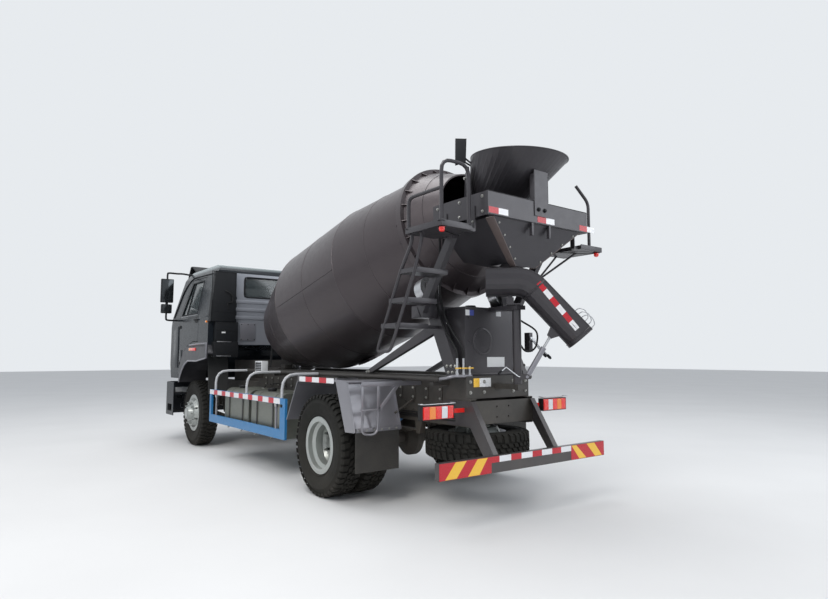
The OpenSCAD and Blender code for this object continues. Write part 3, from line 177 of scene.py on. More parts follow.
# name, base colour, roughness, metallic, coat
M = {
    # The cab paint turns pale grey above 2.86 m: a painted highlight on the roof where it faces the sky
    "cab": material("cab_paint_and_painted_roof_highlight", (0.014, 0.018, 0.023), 0.24, 0.0, 0.06, dust=0.07, grain=0.02,
                    grain_scale=420, spec=0.16, color2=(0.28, 0.32, 0.33), split=(2, 2.86, 0.06)),
    "fender": material("fender_paint", (0.040, 0.040, 0.046), 0.36, 0.1, 0.10, dust=0.10, grain=0.05, spec=0.3),
    "drum": material("drum_paint", (0.060, 0.049, 0.053), 0.36, 0.45, 0.10, dust=0.05, grain=0.05,
                     grain_scale=300, dents=0.10),
    "body": material("body_paint", (0.050, 0.047, 0.053), 0.36, 0.35, 0.10, dust=0.20, grain=0.06,
                     grain_scale=260),
    "frame": material("frame_paint", (0.013, 0.013, 0.014), 0.50, dust=0.45, grain=0.10),
    "cast": material("cast_black", (0.020, 0.019, 0.020), 0.70, dust=0.40, grain=0.35, grain_scale=90),
    # Guard grey: the silver grey of the guard tubes and brackets; on the mudguards its paleness is partly a
    # painted reflection of the sky on their dark metal
    "guard": material("guard_grey_and_painted_sheen", (0.26, 0.26, 0.29), 0.34, 0.55, 0.25, dust=0.25, grain=0.05),
    "blue": material("guard_blue", (0.010, 0.175, 0.420), 0.38, 0.0, 0.10, dust=0.12, grain=0.05,
                     color2=(0.52, 0.53, 0.55), split=(2, 0.952, 0.002)),
    "blue_paint": material("blue_paint", (0.010, 0.175, 0.420), 0.38, 0.0, 0.10, dust=0.12, grain=0.05),
    "tank": material("tank_metal", (0.19, 0.20, 0.175), 0.38, 0.60, dust=0.15, grain=0.05, stretch=(1, 6, 6)),
    "steel": material("bare_steel", (0.52, 0.53, 0.55), 0.30, 0.9, dust=0.15, grain=0.08),
    "zinc": material("zinc_bolt", (0.42, 0.42, 0.40), 0.35, 0.9, dust=0.2, grain=0.10),
    "rim": material("rim_silver", (0.40, 0.43, 0.42), 0.34, 0.55, 0.2, dust=0.30, grain=0.06),
    "rubber": material("tyre_rubber", (0.009, 0.010, 0.010), 0.80, dust=0.09, grain=0.45, grain_scale=140,
                       spec=0.15),
    "flap": material("flap_rubber", (0.022, 0.024, 0.026), 0.62, dust=0.20, grain=0.30, grain_scale=110,
                     spec=0.2),
    "trim": material("trim_plastic", (0.011, 0.012, 0.014), 0.50, dust=0.08, grain=0.40, grain_scale=320,
                     spec=0.2),
    "hose": material("hose_rubber", (0.010, 0.010, 0.011), 0.50, dust=0.03, grain=0.20, grain_scale=240,
                     spec=0.25),
    "red": material("red_reflector", (0.50, 0.010, 0.022), 0.30, 0.0, 0.15, vary=0.12, scale=60, grain=0.10),
    "white": material("white_reflector", (0.78, 0.78, 0.80), 0.25, 0.0, 0.6, vary=0.05, scale=60, grain=0.10),
    "yellow": material("yellow_reflector", (0.88, 0.52, 0.05), 0.30, 0.0, 0.15, vary=0.06, scale=60, grain=0.10),
    "lamp_red": material("lamp_red", (0.75, 0.015, 0.010), 0.12, 0.0, 1.0, vary=0.15, scale=90, grain=0.6,
                         grain_scale=420, glow=0.15),
    "lamp_amber": material("lamp_amber", (0.85, 0.25, 0.02), 0.12, 0.0, 1.0, vary=0.15, scale=90, grain=0.6,
                           grain_scale=420, glow=0.10),
    "lamp_clear": material("lamp_clear", (0.80, 0.82, 0.84), 0.10, 0.2, 1.0, scale=90, grain=0.5,
                           grain_scale=300),
    "glass": material("window_glass", (0.045, 0.060, 0.064), 0.12, 0.0, 0.6, vary=0.02, spec=0.8, alpha=0.62),
    "mirror": material("mirror_glass", (0.060, 0.066, 0.070), 0.12, 0.9, vary=0.02),
    "plate": material("blank_plate", (0.55, 0.57, 0.60), 0.35, 0.3, vary=0.03, grain=0.05),
    "label": material("blank_label", (0.74, 0.75, 0.76), 0.45, vary=0.04, grain=0.05),
    "seat": material("seat_fabric", (0.050, 0.052, 0.056), 0.85, vary=0.25, scale=220, grain=0.8,
                     grain_scale=500),
    "dash": material("dash_plastic", (0.055, 0.056, 0.058), 0.62, vary=0.06, grain=0.5, grain_scale=280),
    "flange": material("flange_paint", (0.150, 0.118, 0.112), 0.42, 0.3, dust=0.10, grain=0.06, grain_scale=260),
    "wall": material("wall_paint", (0.255, 0.268, 0.300), 0.38, 0.35, 0.3, dust=0.10, grain=0.05,
                     grain_scale=300),
    "blue_label": material("blank_blue_label", (0.05, 0.07, 0.30), 0.45, vary=0.04, grain=0.05),
    "seam": material("seam_sealant", (0.030, 0.029, 0.028), 0.50, vary=0.1, grain=0.2),
}

DRESS = {
    "cab": "cab_shell door_left door_right front_bumper",
    "fender": "cab_fenders",
    "drum": "drum",
    "body": "drum_stand feed_hopper discharge_hopper rear_panel platforms ladder water_tank underrun_guard "
            "chute_arm chute",
    "frame": "frame_rails subframe drum_drive leaf_springs air_tanks",
    "cast": "engine front_axle rear_axle prop_shaft knuckle_left knuckle_right",
    # On the mudguards this pale grey is partly a painted reflection of the sky
    "guard": "mudguards air_filter jack_barrel",
    "blue": "side_guards",
    "tank": "fuel_tank",
    "steel": "roller_left roller_right jack_rod",
    "rim": "front_rim_left front_rim_right rear_rims_left rear_rims_right spare_rim",
    "rubber": "spare_tyre front_tyre_left front_tyre_right rear_tyres_left rear_tyres_right",
    "flap": "mud_flaps",
    "trim": "front_grille sun_visor mirrors intake_panel",
    "glass": "cab_glass door_glass_left door_glass_right",
    "lamp_red": "tail_lamps",
    "lamp_clear": "head_lamps",
    "dash": "cab_interior",
}
for key, names in DRESS.items():
    for name in names.split():
        mesh = frame["nodes"][name].data
        mesh.materials.clear()
        mesh.materials.append(M[key])


# ---------------------------------------------------------------- mesh kit

def turn(n, ends=0):
    """The angles of n equal steps round a full turn. ends=1 adds the closing one."""
    return [2 * math.pi * k / n for k in range(n + ends)]


def squared(n, power, ends=0):
    """(x, y) round a circle of radius 1 that is pushed out towards its square, more with a higher power."""
    out = []
    for a in turn(n, ends):
        x, y = math.cos(a), math.sin(a)
        push = 1.0 / max(abs(x), abs(y)) ** power
        out.append((x * push, y * push))
    return out


class Piece:
    """Gathers shapes of several materials into one object that rides on a body."""

    def __init__(self, name, body="chassis", smooth=35):
        self.name, self.body, self.smooth = name, body, smooth
        self.bm, self.keys = bmesh.new(), []

    def paint(self, faces, key):
        if key not in self.keys:
            self.keys.append(key)
        for f in faces:
            f.material_index = self.keys.index(key)

    def faces(self, verts, quads, key, bevel=0.0):
        vs = [self.bm.verts.new(v) for v in verts]
        fs = [self.bm.faces.new([vs[i] for i in q]) for q in quads]
        self.paint(fs, key)
        if bevel:
            edges = list({e for f in fs for e in f.edges})
            out = bmesh.ops.bevel(self.bm, geom=edges, offset=bevel * MM, segments=2, affect="EDGES", profile=0.6)
            self.paint(out["faces"], key)

    def box(self, a, b, key, bevel=2.0):
        """A box between two opposite corners."""
        vs = [(x, y, z) for x in sorted((a.x, b.x)) for y in sorted((a.y, b.y)) for z in sorted((a.z, b.z))]
        sides = [(0, 1, 3, 2), (4, 6, 7, 5), (0, 4, 5, 1), (2, 3, 7, 6), (0, 2, 6, 4), (1, 5, 7, 3)]
        self.faces(vs, sides, key, bevel)

    def slab(self, points, offset, key, bevel=1.5):
        """A flat outline of points, thickened by the vector offset."""
        n = len(points)
        vs = list(points) + [p + Vector(offset) * MM for p in points]
        quads = [tuple(range(n - 1, -1, -1)), tuple(range(n, 2 * n))]
        quads += [(i, (i + 1) % n, n + (i + 1) % n, n + i) for i in range(n)]
        self.faces(vs, quads, key, bevel)

    def turned(self, centre, axis, outline, key, seg=48):
        """An outline of (radius, distance along the axis) turned about the axis. Radius 0 closes an end."""
        axis = Vector(axis).normalized()
        u = axis.orthogonal().normalized()
        w = axis.cross(u)
        vs = []
        for a in turn(seg):
            d = u * math.cos(a) + w * math.sin(a)
            vs += [centre + d * (max(r, 0.1) * MM) + axis * (h * MM) for r, h in outline]
        m = len(outline)
        quads = []
        for k in range(seg):
            q = (k + 1) % seg
            quads += [(k * m + i, k * m + i + 1, q * m + i + 1, q * m + i) for i in range(m - 1)]
        self.faces(vs, quads, key)

    def rod(self, a, b, r, key, seg=16, soft=0.0):
        """A round bar from a to b with softened ends."""
        h = (b - a).length / MM
        e = soft or min(r * 0.2, 2)
        self.turned(a, b - a, [(0, 0), (r - e, 0), (r, e), (r, h - e), (r - e, h), (0, h)], key, seg)

    def tube(self, points, r, key, seg=10, smooth=0):
        """A round tube along points. smooth > 0 puts that many steps of a curve between two points."""
        ps = points
        last = len(ps) - 1
        if smooth:
            out = []
            for i in range(last):
                p0, p1, p2, p3 = ps[max(i - 1, 0)], ps[i], ps[i + 1], ps[min(i + 2, last)]
                for t in [k / smooth for k in range(smooth)]:
                    out.append(0.5 * ((2 * p1) + (p2 - p0) * t + (2 * p0 - 5 * p1 + 4 * p2 - p3) * t * t
                                      + (3 * p1 - p0 - 3 * p2 + p3) * t ** 3))
            ps = out + [ps[-1]]
            last = len(ps) - 1
        u = (ps[1] - ps[0]).normalized().orthogonal().normalized()
        vs = []
        for i, p in enumerate(ps):
            d = (ps[min(i + 1, last)] - ps[max(i - 1, 0)]).normalized()
            u = (u - d * u.dot(d)).normalized()
            w = d.cross(u)
            vs += [p + (u * math.cos(a) + w * math.sin(a)) * (r * MM) for a in turn(seg)]
        quads = [tuple(range(seg - 1, -1, -1)), tuple(range(len(vs) - seg, len(vs)))]
        for i in range(last):
            n = i * seg
            quads += [(n + k, n + (k + 1) % seg, n + seg + (k + 1) % seg, n + seg + k) for k in range(seg)]
        self.faces(vs, quads, key)

    def bolt(self, at, normal, r, key="zinc", washer=True):
        """A hexagon head of half width r on its washer."""
        n = Vector(normal).normalized()
        if washer:
            self.turned(at, n, [(0, r * 0.35), (r * 1.45, r * 0.35), (r * 1.5, r * 0.2), (r * 1.5, 0)], key, 20)
        head = [(0, r), (r * 0.8, r), (r * 1.05, r * 0.8), (r * 1.05, 0)]
        self.turned(at + n * (r * 0.3 * MM), n, head, key, 6)

    def bolts(self, frm, xs, ys, zs, normal, r, key="zinc"):
        """Bolts wherever xs, ys and zs cross. frm is P or C."""
        for x in xs:
            for y in ys:
                for z in zs:
                    self.bolt(frm(x, y, z), normal, r, key)

    def tape(self, a, b, up, normal, width, first, cells):
        """A strip of reflective cells from a to b, red and white by turns. cells are shares of its length."""
        total, done, half = sum(cells), 0, up * (width * MM / 2)
        for k, share in enumerate(cells):
            p, q = a.lerp(b, done / total), a.lerp(b, (done + share) / total)
            key = first if k % 2 == 0 else {"red": "white", "white": "red"}[first]
            self.slab([p - half, q - half, q + half, p + half], normal * TAPE, key, 0.0)
            done += share

    def done(self):
        bmesh.ops.recalc_face_normals(self.bm, faces=self.bm.faces[:])
        me = bpy.data.meshes.new(self.name)
        self.bm.to_mesh(me)
        self.bm.free()
        for key in self.keys:
            me.materials.append(M[key])
        ob = bpy.data.objects.new(self.name, me)
        scene.collection.objects.link(ob)
        me.shade_smooth()
        me.set_sharp_from_angle(angle=math.radians(self.smooth))
        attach(ob, self.body)
        return ob


TAPE = 1.2              # thickness of reflective tape


# ---------------------------------------------------------------- tyres

# (radius, distance from the middle) from the bead over the ribbed wall to the crown
WALL = [(254.5, 102), (300, 102.4), (304, 118), (312, 121.5), (318, 117.5), (334, 123.5), (352, 129.5),
        (384, 134.2), (386, 135.2), (410, 133.8), (413, 135), (438, 131.5), (441, 132.5), (466, 121.5),
        (486, 116.5), (500, 104), (508.5, 85), (511.5, 0)]
HALF_WIDTH = 135
SHOULDER = 118
PITCHES = 44


def lug(p, centre, start, long, ys, skew):
    """A tread block over the angle long from start and over the widths ys, its far edge turned by skew."""
    vs = []
    for j, y in enumerate(ys):
        a = start + skew * j / (len(ys) - 1)
        bow, outer = (abs(y) / HALF_WIDTH) ** 2, abs(y) > SHOULDER
        top = 527 - 4.5 * bow - (18 if outer else 0)
        low = 507.5 - 6 * bow - (20 if outer else 0)
        for b, r in ((a - 0.004, low), (a, top), (a + long / 2, top), (a + long, top), (a + long + 0.004, low)):
            vs.append(centre + Vector((math.cos(b) * r, y, math.sin(b) * r)) * MM)
    starts = [j * 5 + i for j in range(len(ys) - 1) for i in range(4)]
    quads = [(i, i + 1, i + 6, i + 5) for i in starts]
    quads += [(0, 1, 2, 3, 4), tuple(len(vs) - 5 + i for i in (4, 3, 2, 1, 0))]
    p.faces(vs, quads, "rubber")


def tyre(name, body, node_name, centres):
    """Carcass with ribbed walls and block tread, one per centre, standing for the CAD node."""
    p = Piece(name, body)
    step = 2 * math.pi / PITCHES
    for centre in centres:
        c = Vector(centre)
        p.turned(c, Y, WALL + [(r, -y) for r, y in reversed(WALL[:-1])], "rubber", 120)
        for k in range(PITCHES):
            inner = 46 if k % 2 else 58
            for side, ahead in ((1, 0.0), (-1, 0.5)):
                lug(p, c, step * (k + ahead), step * 0.60, [side * y for y in (inner, 85, 112, 127)],
                    side * step * 0.18)
                lug(p, c, step * (k + ahead + 0.20), step * 0.66, [side * y for y in (4, 22, 38)],
                    side * step * 0.28)
    ob = p.done()
    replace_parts(ob, node_name)
    return ob


def wheel_y(name):
    lo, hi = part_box(name)
    return (lo[1] + hi[1]) / 2


for side in ("left", "right"):
    tyre("front_tyre_tread_" + side, "front_%s_wheel" % side, "front_tyre_" + side,
         [(FRONT, wheel_y("front_tyre_" + side), AXLE_Z)])
    lo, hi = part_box("rear_tyres_" + side)
    tyre("rear_tyre_treads_" + side, "rear_%s_wheels" % side, "rear_tyres_" + side,
         [(REAR, lo[1] + HALF_WIDTH * MM, AXLE_Z), (REAR, hi[1] - HALF_WIDTH * MM, AXLE_Z)])

# The spare lies flat under the frame's tail
lo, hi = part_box("spare_tyre")
spare = tyre("spare_tyre_tread", "chassis", "spare_tyre", [(0, 0, 0)])
spare.data.transform(Matrix.Translation((Vector(lo) + Vector(hi)) / 2) @ Matrix.Rotation(math.radians(90), 4, "X"))

# Grease caps and valve stems of the front wheels
for side, s in (("left", 1), ("right", -1)):
    p = Piece("front_hub_cap_" + side, "front_%s_wheel" % side, 40)
    lo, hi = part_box("front_rim_" + side)
    c = Vector((FRONT, hi[1] if s > 0 else lo[1], AXLE_Z))
    out = s * Y

    def at_hub(degrees, r, back):
        a = math.radians(degrees)
        return c + Vector((math.cos(a) * r, -s * back, math.sin(a) * r)) * MM

    p.turned(c - out * 0.012, out, [(88, -2), (88, 4), (84, 10), (60, 11.8), (0, 11.8)], "cast", 40)
    for k in range(8):
        p.bolt(at_hub(45 * k + 10, 72, 10), out, 6, washer=False)
    p.tube([at_hub(250, 225, 100), at_hub(250, 222, 75), at_hub(250, 205, 55)], 4.5, "zinc", 8, 4)
    p.done()


# ---------------------------------------------------------------- drum

ring_at = Vector(joint["drum_turn"]["pos_m"])
along = Vector(joint["drum_turn"]["axis"]).normalized()
if along.x < 0:
    along = -along
SIDE = along.orthogonal().normalized()
TOP = along.cross(SIDE)
# (distance ahead of the roller ring, radius) of the drum's skin
DRUM = [(-400, 500), (-40, 700), (40, 704), (1203, 862), (2699, 895), (3691, 638)]


def drum_r(t):
    for (t0, r0), (t1, r1) in zip(DRUM[:-1], DRUM[1:]):
        if t0 <= t <= t1:
            return r0 + (r1 - r0) * (t - t0) / (t1 - t0)


def spoke(a):
    """The direction straight out from the drum's axis at angle a."""
    return SIDE * math.cos(a) + TOP * math.sin(a)


def at_drum(t, d=Z, r=0):
    """The point t ahead of the ring on the drum's axis, and r out along the spoke d."""
    return ring_at + along * (t * MM) + d * (r * MM)


p = Piece("drum_trim", "mixer_drum")
# Weld beads at the plates' joints, and lengthwise beads stepped between them
for t, w in ((1203, 10), (2699, 10), (620, 7), (1950, 7), (3220, 7), (-220, 6)):
    r = drum_r(t)
    p.turned(at_drum(t), along, [(r - 4, -w), (r + 1.5, -w * 0.6), (r + 3, 0), (r + 1.5, w * 0.6), (r - 4, w)],
             "drum", 160)
for t0, t1, degrees in ((50, 1190, 40), (1220, 2680, 130), (2720, 3660, 250), (1220, 2680, 310)):
    d = spoke(math.radians(degrees))
    p.tube([at_drum(t, d, drum_r(t)) for t in [t0 + (t1 - t0) * k / 8 for k in range(9)]], 5, "drum", 8)
# Hatch on the barrel with its frame and bolts
d = spoke(math.radians(200))
w = along.cross(d)
c = at_drum(2300, d, drum_r(2300) + 1)
for size, height in ((260, 10), (200, 20)):
    p.slab([c - d * 0.02 + along * (x * size * 0.8 * MM) + w * (y * size * MM) for x, y in squared(20, 0.72)],
           d * (height + 20), "drum", 3)
for a in turn(12):
    p.bolt(c + d * 0.008 + along * (math.cos(a) * 0.205) + w * (math.sin(a) * 0.245), d, 8)
# Collar at the mouth, and the gussets on both sides of the roller ring
p.turned(at_drum(-395), along, [(490, -2), (505, -4), (509, 4), (506, 12)], "drum", 120)
for d in [spoke(a) for a in turn(24)]:
    for gusset in (((41, 700), (41, 738), (115, 706)), ((-41, 690), (-41, 738), (-110, 655))):
        p.slab([at_drum(t, d, r) for t, r in gusset], along.cross(d) * 8, "drum", 1)
p.done()


# ---------------------------------------------------------------- tapes and stripes

PANEL_X = -2030         # rear face of the hopper's panel
BAR_X = -1856.4         # rear face of the underrun bar
p = Piece("reflective_tapes", smooth=30)
for y in (690, 60, -560):
    p.tape(P(PANEL_X - 0.3, y - 8, 2722), P(PANEL_X - 0.3, y - 248, 2722), Z, -X, 55, "red", (1, 1))
for s in (1, -1):
    # Flat bar over the wheel between the mudguard's plates, and its tape
    p.box(P(-264, s * 1205, 1174), P(484, s * 1214, 1232), "body")
    p.tape(P(438, s * 1214.3, 1204), P(-326, s * 1214.3, 1204), Z, s * Y, 54, "white", (144, 151, 157, 156, 156))
# Underrun bar: red ends with two yellow stripes each, and cells along the upper half between them
for y0, y1, z1 in ((1106, 557, 581), (557, 515, 528), (-578, -1106, 581)):
    p.slab([P(BAR_X, y0, 443), P(BAR_X, y1, 443), P(BAR_X, y1, z1), P(BAR_X, y0, z1)], -TAPE * X, "red", 0)
x = BAR_X - TAPE
for t0, t1, b0, b1 in ((929, 806, 1045, 920), (679, 560, 792, 660), (-584, -655, -700, -812),
                       (-821, -946, -955, -1068)):
    p.slab([P(x, b0, 446), P(x, b1, 446), P(x, t1, 579), P(x, t0, 579)], -0.8 * X, "yellow", 0)
p.tape(P(BAR_X, 556, 555), P(BAR_X, -577, 555), Z, -X, 52, "red", (140, 147, 136, 148, 131, 146, 133, 152))
p.done()


# ---------------------------------------------------------------- rear of the mixer

RIM_X, RIM_Z, RIM_R, RIM_TIP = -1765, 3372, 475, math.radians(5)


def at_rim(a, r, dz):
    """A point of the funnel's tipped rim, r from its middle and dz above its plane."""
    u = r * math.cos(a)
    return P(RIM_X + u * math.cos(RIM_TIP) - dz * math.sin(RIM_TIP), r * math.sin(a),
             RIM_Z + u * math.sin(RIM_TIP) + dz * math.cos(RIM_TIP))


p = Piece("hopper_trim")
p.tube([at_rim(a, RIM_R - 5, -3) for a in turn(72, 1)], 6, "body", 8)
# Upright flap with a turned edge at the rim's left front, on two stays
p.slab([P(-1340, 452, 3330), P(-1480, 440, 3330), P(-1490, 438, 3560), P(-1345, 452, 3605)], 6 * Y, "trim", 2)
p.tube([P(-1345, 452, 3602), P(-1420, 446, 3580), P(-1488, 440, 3560)], 5, "trim", 8, 3)
p.rod(P(-1400, 446, 3380), P(-1420, 300, 3330), 9, "body")
p.rod(P(-1460, 442, 3380), P(-1500, 330, 3300), 9, "body")
for s in (1, -1):
    # Cheek plates that brace the funnel from the frame, with their folded edges
    p.slab([P(-1560, s * 420, 2885), P(-1330, s * 330, 2885), P(-1400, s * 372, 3250), P(-1470, s * 398, 3290)],
           s * 8 * Y, "body")
    p.slab([P(-1475, s * 404, 3285), P(-1560, s * 426, 2885), P(-1566, s * 426, 2885), P(-1485, s * 404, 3292)],
           s * 35 * Y, "body", 1)
    p.rod(P(-1330, s * 470, 2890), P(-1560, s * 560, 2900), 12, "steel")
    for x, y, z in ((-1395, 380, 3200), (-1430, 402, 2940)):
        p.bolt(P(x, s * y, z), s * Y, 10)
    p.bolts(P, (-1960, -1660, -1350), (s * 690,), (2850, 2715), s * Y, 10)
    # Small brackets under the panel
    p.box(P(PANEL_X - 2, s * 120 - 12, 2560), P(PANEL_X + 30, s * 120 + 12, 2680), "body")
    # Side flanges of the upright plate
    p.box(P(PANEL_X - 8, s * 95 - 4, 2895), P(PANEL_X + 46, s * 95 + 4, 3150), "body", 1)
p.bolts(P, (PANEL_X - 8,), (-42, 42), (2812,), -X, 14, "trim")
# Return lips of the rear panel
p.box(P(PANEL_X, -686, 2884), P(PANEL_X + 55, 686, 2892), "body", 1)
p.box(P(PANEL_X, -686, 2678), P(PANEL_X + 45, 686, 2685), "body", 1)
p.done()

# Folded flanges down the collector's rear corners, with their bolts
p = Piece("collector_seams")
for s in (1, -1):
    a, b = P(-2009, s * 600, 2681), P(-1826, s * 131, 2301)
    p.slab([a, b, b + 0.075 * X, a + 0.100 * X], Vector((0, s * 0.629, -0.778)) * 7, "flange", 1)
    for k in range(4):
        p.bolt(a.lerp(b, 0.12 + 0.24 * k) + Vector((-0.001, -s * 0.03, 0)), (-0.92, 0, -0.40), 7)
p.done()

DECK_X0, DECK_X1, DECK_Y0, DECK_Y1, DECK_Z = -1900, -1400, 757, 1110, 2590
p = Piece("platform_trim")
for s in (1, -1):
    # Raised lozenges of the tread plate
    for i in range(12):
        for j in range(8):
            a = math.radians(45 if (i + j) % 2 else -45)
            d, e = Vector((math.cos(a), math.sin(a), 0)) * 0.013, Vector((-math.sin(a), math.cos(a), 0)) * 0.0035
            c = P(DECK_X0 + 28 + i * 41, s * (DECK_Y0 + 26 + j * 43), DECK_Z)
            top = c + 0.0016 * Z
            p.faces([c - d, c - e, c + d, c + e, top - d * 0.5, top + d * 0.5],
                    [(0, 1, 4), (1, 2, 5, 4), (2, 3, 5), (3, 0, 4, 5)], "body")
    # Lip round the platform, and the red lamp on its cable under the outer rear corner
    for x in (DECK_X0, DECK_X1):
        p.box(P(x - 3, s * DECK_Y0, 2548), P(x + 3, s * DECK_Y1, 2600), "body", 1)
    p.box(P(DECK_X0, s * (DECK_Y1 - 3), 2548), P(DECK_X1, s * (DECK_Y1 + 3), 2600), "body", 1)
    x, y = DECK_X0 + 40, s * (DECK_Y1 - 40)
    p.box(P(x - 26, y - 26, 2542), P(x + 26, y + 26, 2551), "trim")
    p.turned(P(x, y, 2543), -Z, [(26, 0), (26, 22), (20, 36), (10, 41), (0, 42)], "lamp_red", 28)
    p.tube([P(x, y, 2549), P(x + 60, y - s * 60, 2538), P(x + 160, s * 800, 2540), P(x + 200, s * 700, 2546),
            P(x + 210, s * 660, 2600)], 4, "hose", 8, 5)
    p.bolts(P, (DECK_X0 + 55, DECK_X1 - 65), (s * 700.5,), (2640,), s * Y, 8)
# Braces under the right platform, and feet of the handrails
for x0, x1, z in ((-1700, -1300, 2230), (-1440, -1270, 2170)):
    p.rod(P(x0, -940, 2555), P(x1, -676, z), 11, "body")
for x, y in ((-1880, 777), (-1880, 1090), (-1420, 1090), (-1760, -1090)):
    p.turned(P(x, y, DECK_Z), Z, [(34, 0), (34, 5), (19, 6), (18, 16)], "body", 28)
p.done()

# Ladder treads: cross bars and end lips
p = Piece("ladder_trim")
for x, z in ((-1350, 2230), (-1190, 1970), (-1060, 1740)):
    for y in range(705, 1042, 42):
        p.box(P(x - 112, y, z + 20), P(x + 112, y + 8, z + 24), "body", 1)
    for x0 in (x - 122, x + 117):
        p.box(P(x0, 672, z - 22), P(x0 + 5, 1058, z + 26), "body", 1)
p.done()

# Water tank: bare boss, blank labels, cover strips, bolts and filler cap
TANK_X = -1380
p = Piece("tank_fittings")
p.turned(P(TANK_X, 146, 1600), -X, [(132, 0), (132, 4), (125, 7), (112, 7), (108, 3), (0, 3)], "body", 56)
for y0, y1, z0, z1, key in ((-155, 88, 1348, 1446, "label"), (-112, -44, 1856, 1908, "label"),
                            (320, 372, 1850, 1905, "label"), (262, 320, 1850, 1905, "blue_label")):
    p.box(P(TANK_X - 3, y0, z0), P(TANK_X, y1, z1), key, 1)
p.box(P(TANK_X - 6, -384, 1915), P(TANK_X + 276, 384, 1936), "body", 3)
p.box(P(TANK_X - 5, -384, 1266), P(TANK_X + 275, 384, 1290), "body", 3)
p.bolts(P, (TANK_X,), (-330, 330), (1330, 1600, 1830), -X, 7, "body")
p.turned(P(-1245, 180, 1935), Z, [(55, 0), (55, 20), (50, 26), (0, 26)], "trim", 36)
# Blank plate on the subframe's end, a third of it yellow
p.box(P(-1453, 110, 1160), P(-1450, 262, 1244), "label", 1)
p.box(P(-1453, 262, 1160), P(-1450, 338, 1244), "yellow", 1)
# The side tube's end turns in behind the leg and carries three valves, two with hoses up the leg
VALVE_X, VALVE_Z = -1432, 1278
p.tube([P(-1296, 630, 1240), P(-1380, 622, 1252), P(-1430, 575, 1268), P(VALVE_X, 480, 1268),
        P(VALVE_X, 350, 1268)], 16, "guard", 12, 5)
for y, z in ((530, 1440), (450, 1440), (372, 1360)):
    top = z - VALVE_Z
    p.turned(P(VALVE_X, y, VALVE_Z), Z, [(0, 0), (15, 0), (15, 20), (11, 22), (11, 50), (16, 52), (16, 70),
                                         (10.5, 72), (10.5, top), (0, top)], "steel", 16)
    p.box(P(-1452, y - 34, 1336), P(-1444, y + 34, 1348), "yellow")
    p.rod(P(-1448, y, 1342), P(VALVE_X, y, 1342), 6, "steel")
for route in (((-1432, 530, 1436), (-1425, 530, 1500), (-1384, 528, 1560), (-1254, 520, 1707), (-1168, 514, 1850),
               (-1112, 508, 1998), (-1100, 505, 2099), (-1130, 505, 2236), (-1175, 520, 2400), (-1240, 575, 2580),
               (-1320, 668, 2740)),
              ((-1432, 450, 1436), (-1436, 462, 1500), (-1424, 492, 1580), (-1350, 500, 1670), (-1262, 498, 1777),
               (-1195, 494, 1897), (-1140, 486, 2031), (-1125, 482, 2130), (-1160, 484, 2260), (-1205, 498, 2410),
               (-1275, 560, 2590), (-1350, 668, 2750))):
    p.tube([P(*q) for q in route], 12, "hose", 12, 6)
p.done()

# Control levers at the right leg
p = Piece("control_levers")
p.box(P(-1440, -520, 1500), P(-1370, -470, 1700), "body", 3)
for pivot, knob in (((-1436, -495, 1640), (-1560, -560, 1470)), ((-1436, -530, 1620), (-1590, -595, 1450))):
    a, b = P(*pivot), P(*knob)
    p.rod(a, b, 8, "steel")
    p.turned(b, b - a, [(0, -30), (14, -25), (16, 10), (10, 30), (0, 32)], "trim", 16)
    p.turned(a, Y, [(0, -20), (18, -20), (18, 20), (0, 20)], "steel", 20)
p.done()

# Bolts and gussets of the drum's stands, and the plate across the subframe's end
p = Piece("stand_bolts")
for s in (1, -1):
    for xs, y, z in (((-1370, -1310, -1250), 480, 1300), ((-1350, -1290, -1230), 480, 1360),
                     ((160, 200), 475, 1275)):
        p.bolts(P, xs, (s * y,), (z,), s * Y, 11)
    p.slab([P(-1400, s * 420, 1266), P(-1230, s * 420, 1266), P(-1300, s * 420, 1400)], -s * 10 * Y, "body")
    p.slab([P(-1060, s * 671, 1840), P(-940, s * 671, 1840), P(-1000, s * 671, 1944)], s * 6 * Y, "body")
p.box(P(-1446, -428, 1052), P(-1440, 428, 1262), "body")
p.bolts(P, (-1450,), (-380, -200, 200, 380), (1110, 1210), -X, 12)
p.done()


# ---------------------------------------------------------------- chute

POST_X = -1700
HEADING, SLOPE = math.radians(225), math.radians(48)
ELBOW, HEAD_Z, TROUGH_R, TROUGH_H, HEAD_L, SLOPE_L = 100, 2030, 200, 250, 290, 620
OUT, ACROSS = Vector((math.cos(HEADING), math.sin(HEADING), 0)), Vector((-math.sin(HEADING), math.cos(HEADING), 0))


def K(u, v, z):
    """A point on the chute: u out along it and v across it from the post's axis, z up."""
    return P(POST_X, 0, 0) + OUT * (u * MM) + ACROSS * (v * MM) + Z * (z * MM)


def on_slope(t, v, h):
    """A point t down the slope from the elbow, v across it and h off the trough's floor."""
    return K(ELBOW * math.sin(SLOPE) + t * math.cos(SLOPE) + h * math.sin(SLOPE), v,
             HEAD_Z - ELBOW + ELBOW * math.cos(SLOPE) - t * math.sin(SLOPE) + h * math.cos(SLOPE))


def on_skin(t, degrees, proud):
    """A point of the trough's outer skin, degrees round from its floor."""
    a, r = math.radians(degrees), TROUGH_R + proud
    return on_slope(t, r * math.sin(a), TROUGH_R - r * math.cos(a))


p = Piece("chute_trim", "swing_chute")
# Rolled rims
for v in (-TROUGH_R, TROUGH_R):
    r, z = ELBOW + TROUGH_H - 4, HEAD_Z - ELBOW
    bend = [K(r * math.sin(a), v, z + r * math.cos(a)) for a in [SLOPE * k / 6 for k in range(7)]]
    p.tube([K(-HEAD_L, v, z + r)] + bend + [on_slope(SLOPE_L, v, TROUGH_H - 4)], 6, "body", 10)
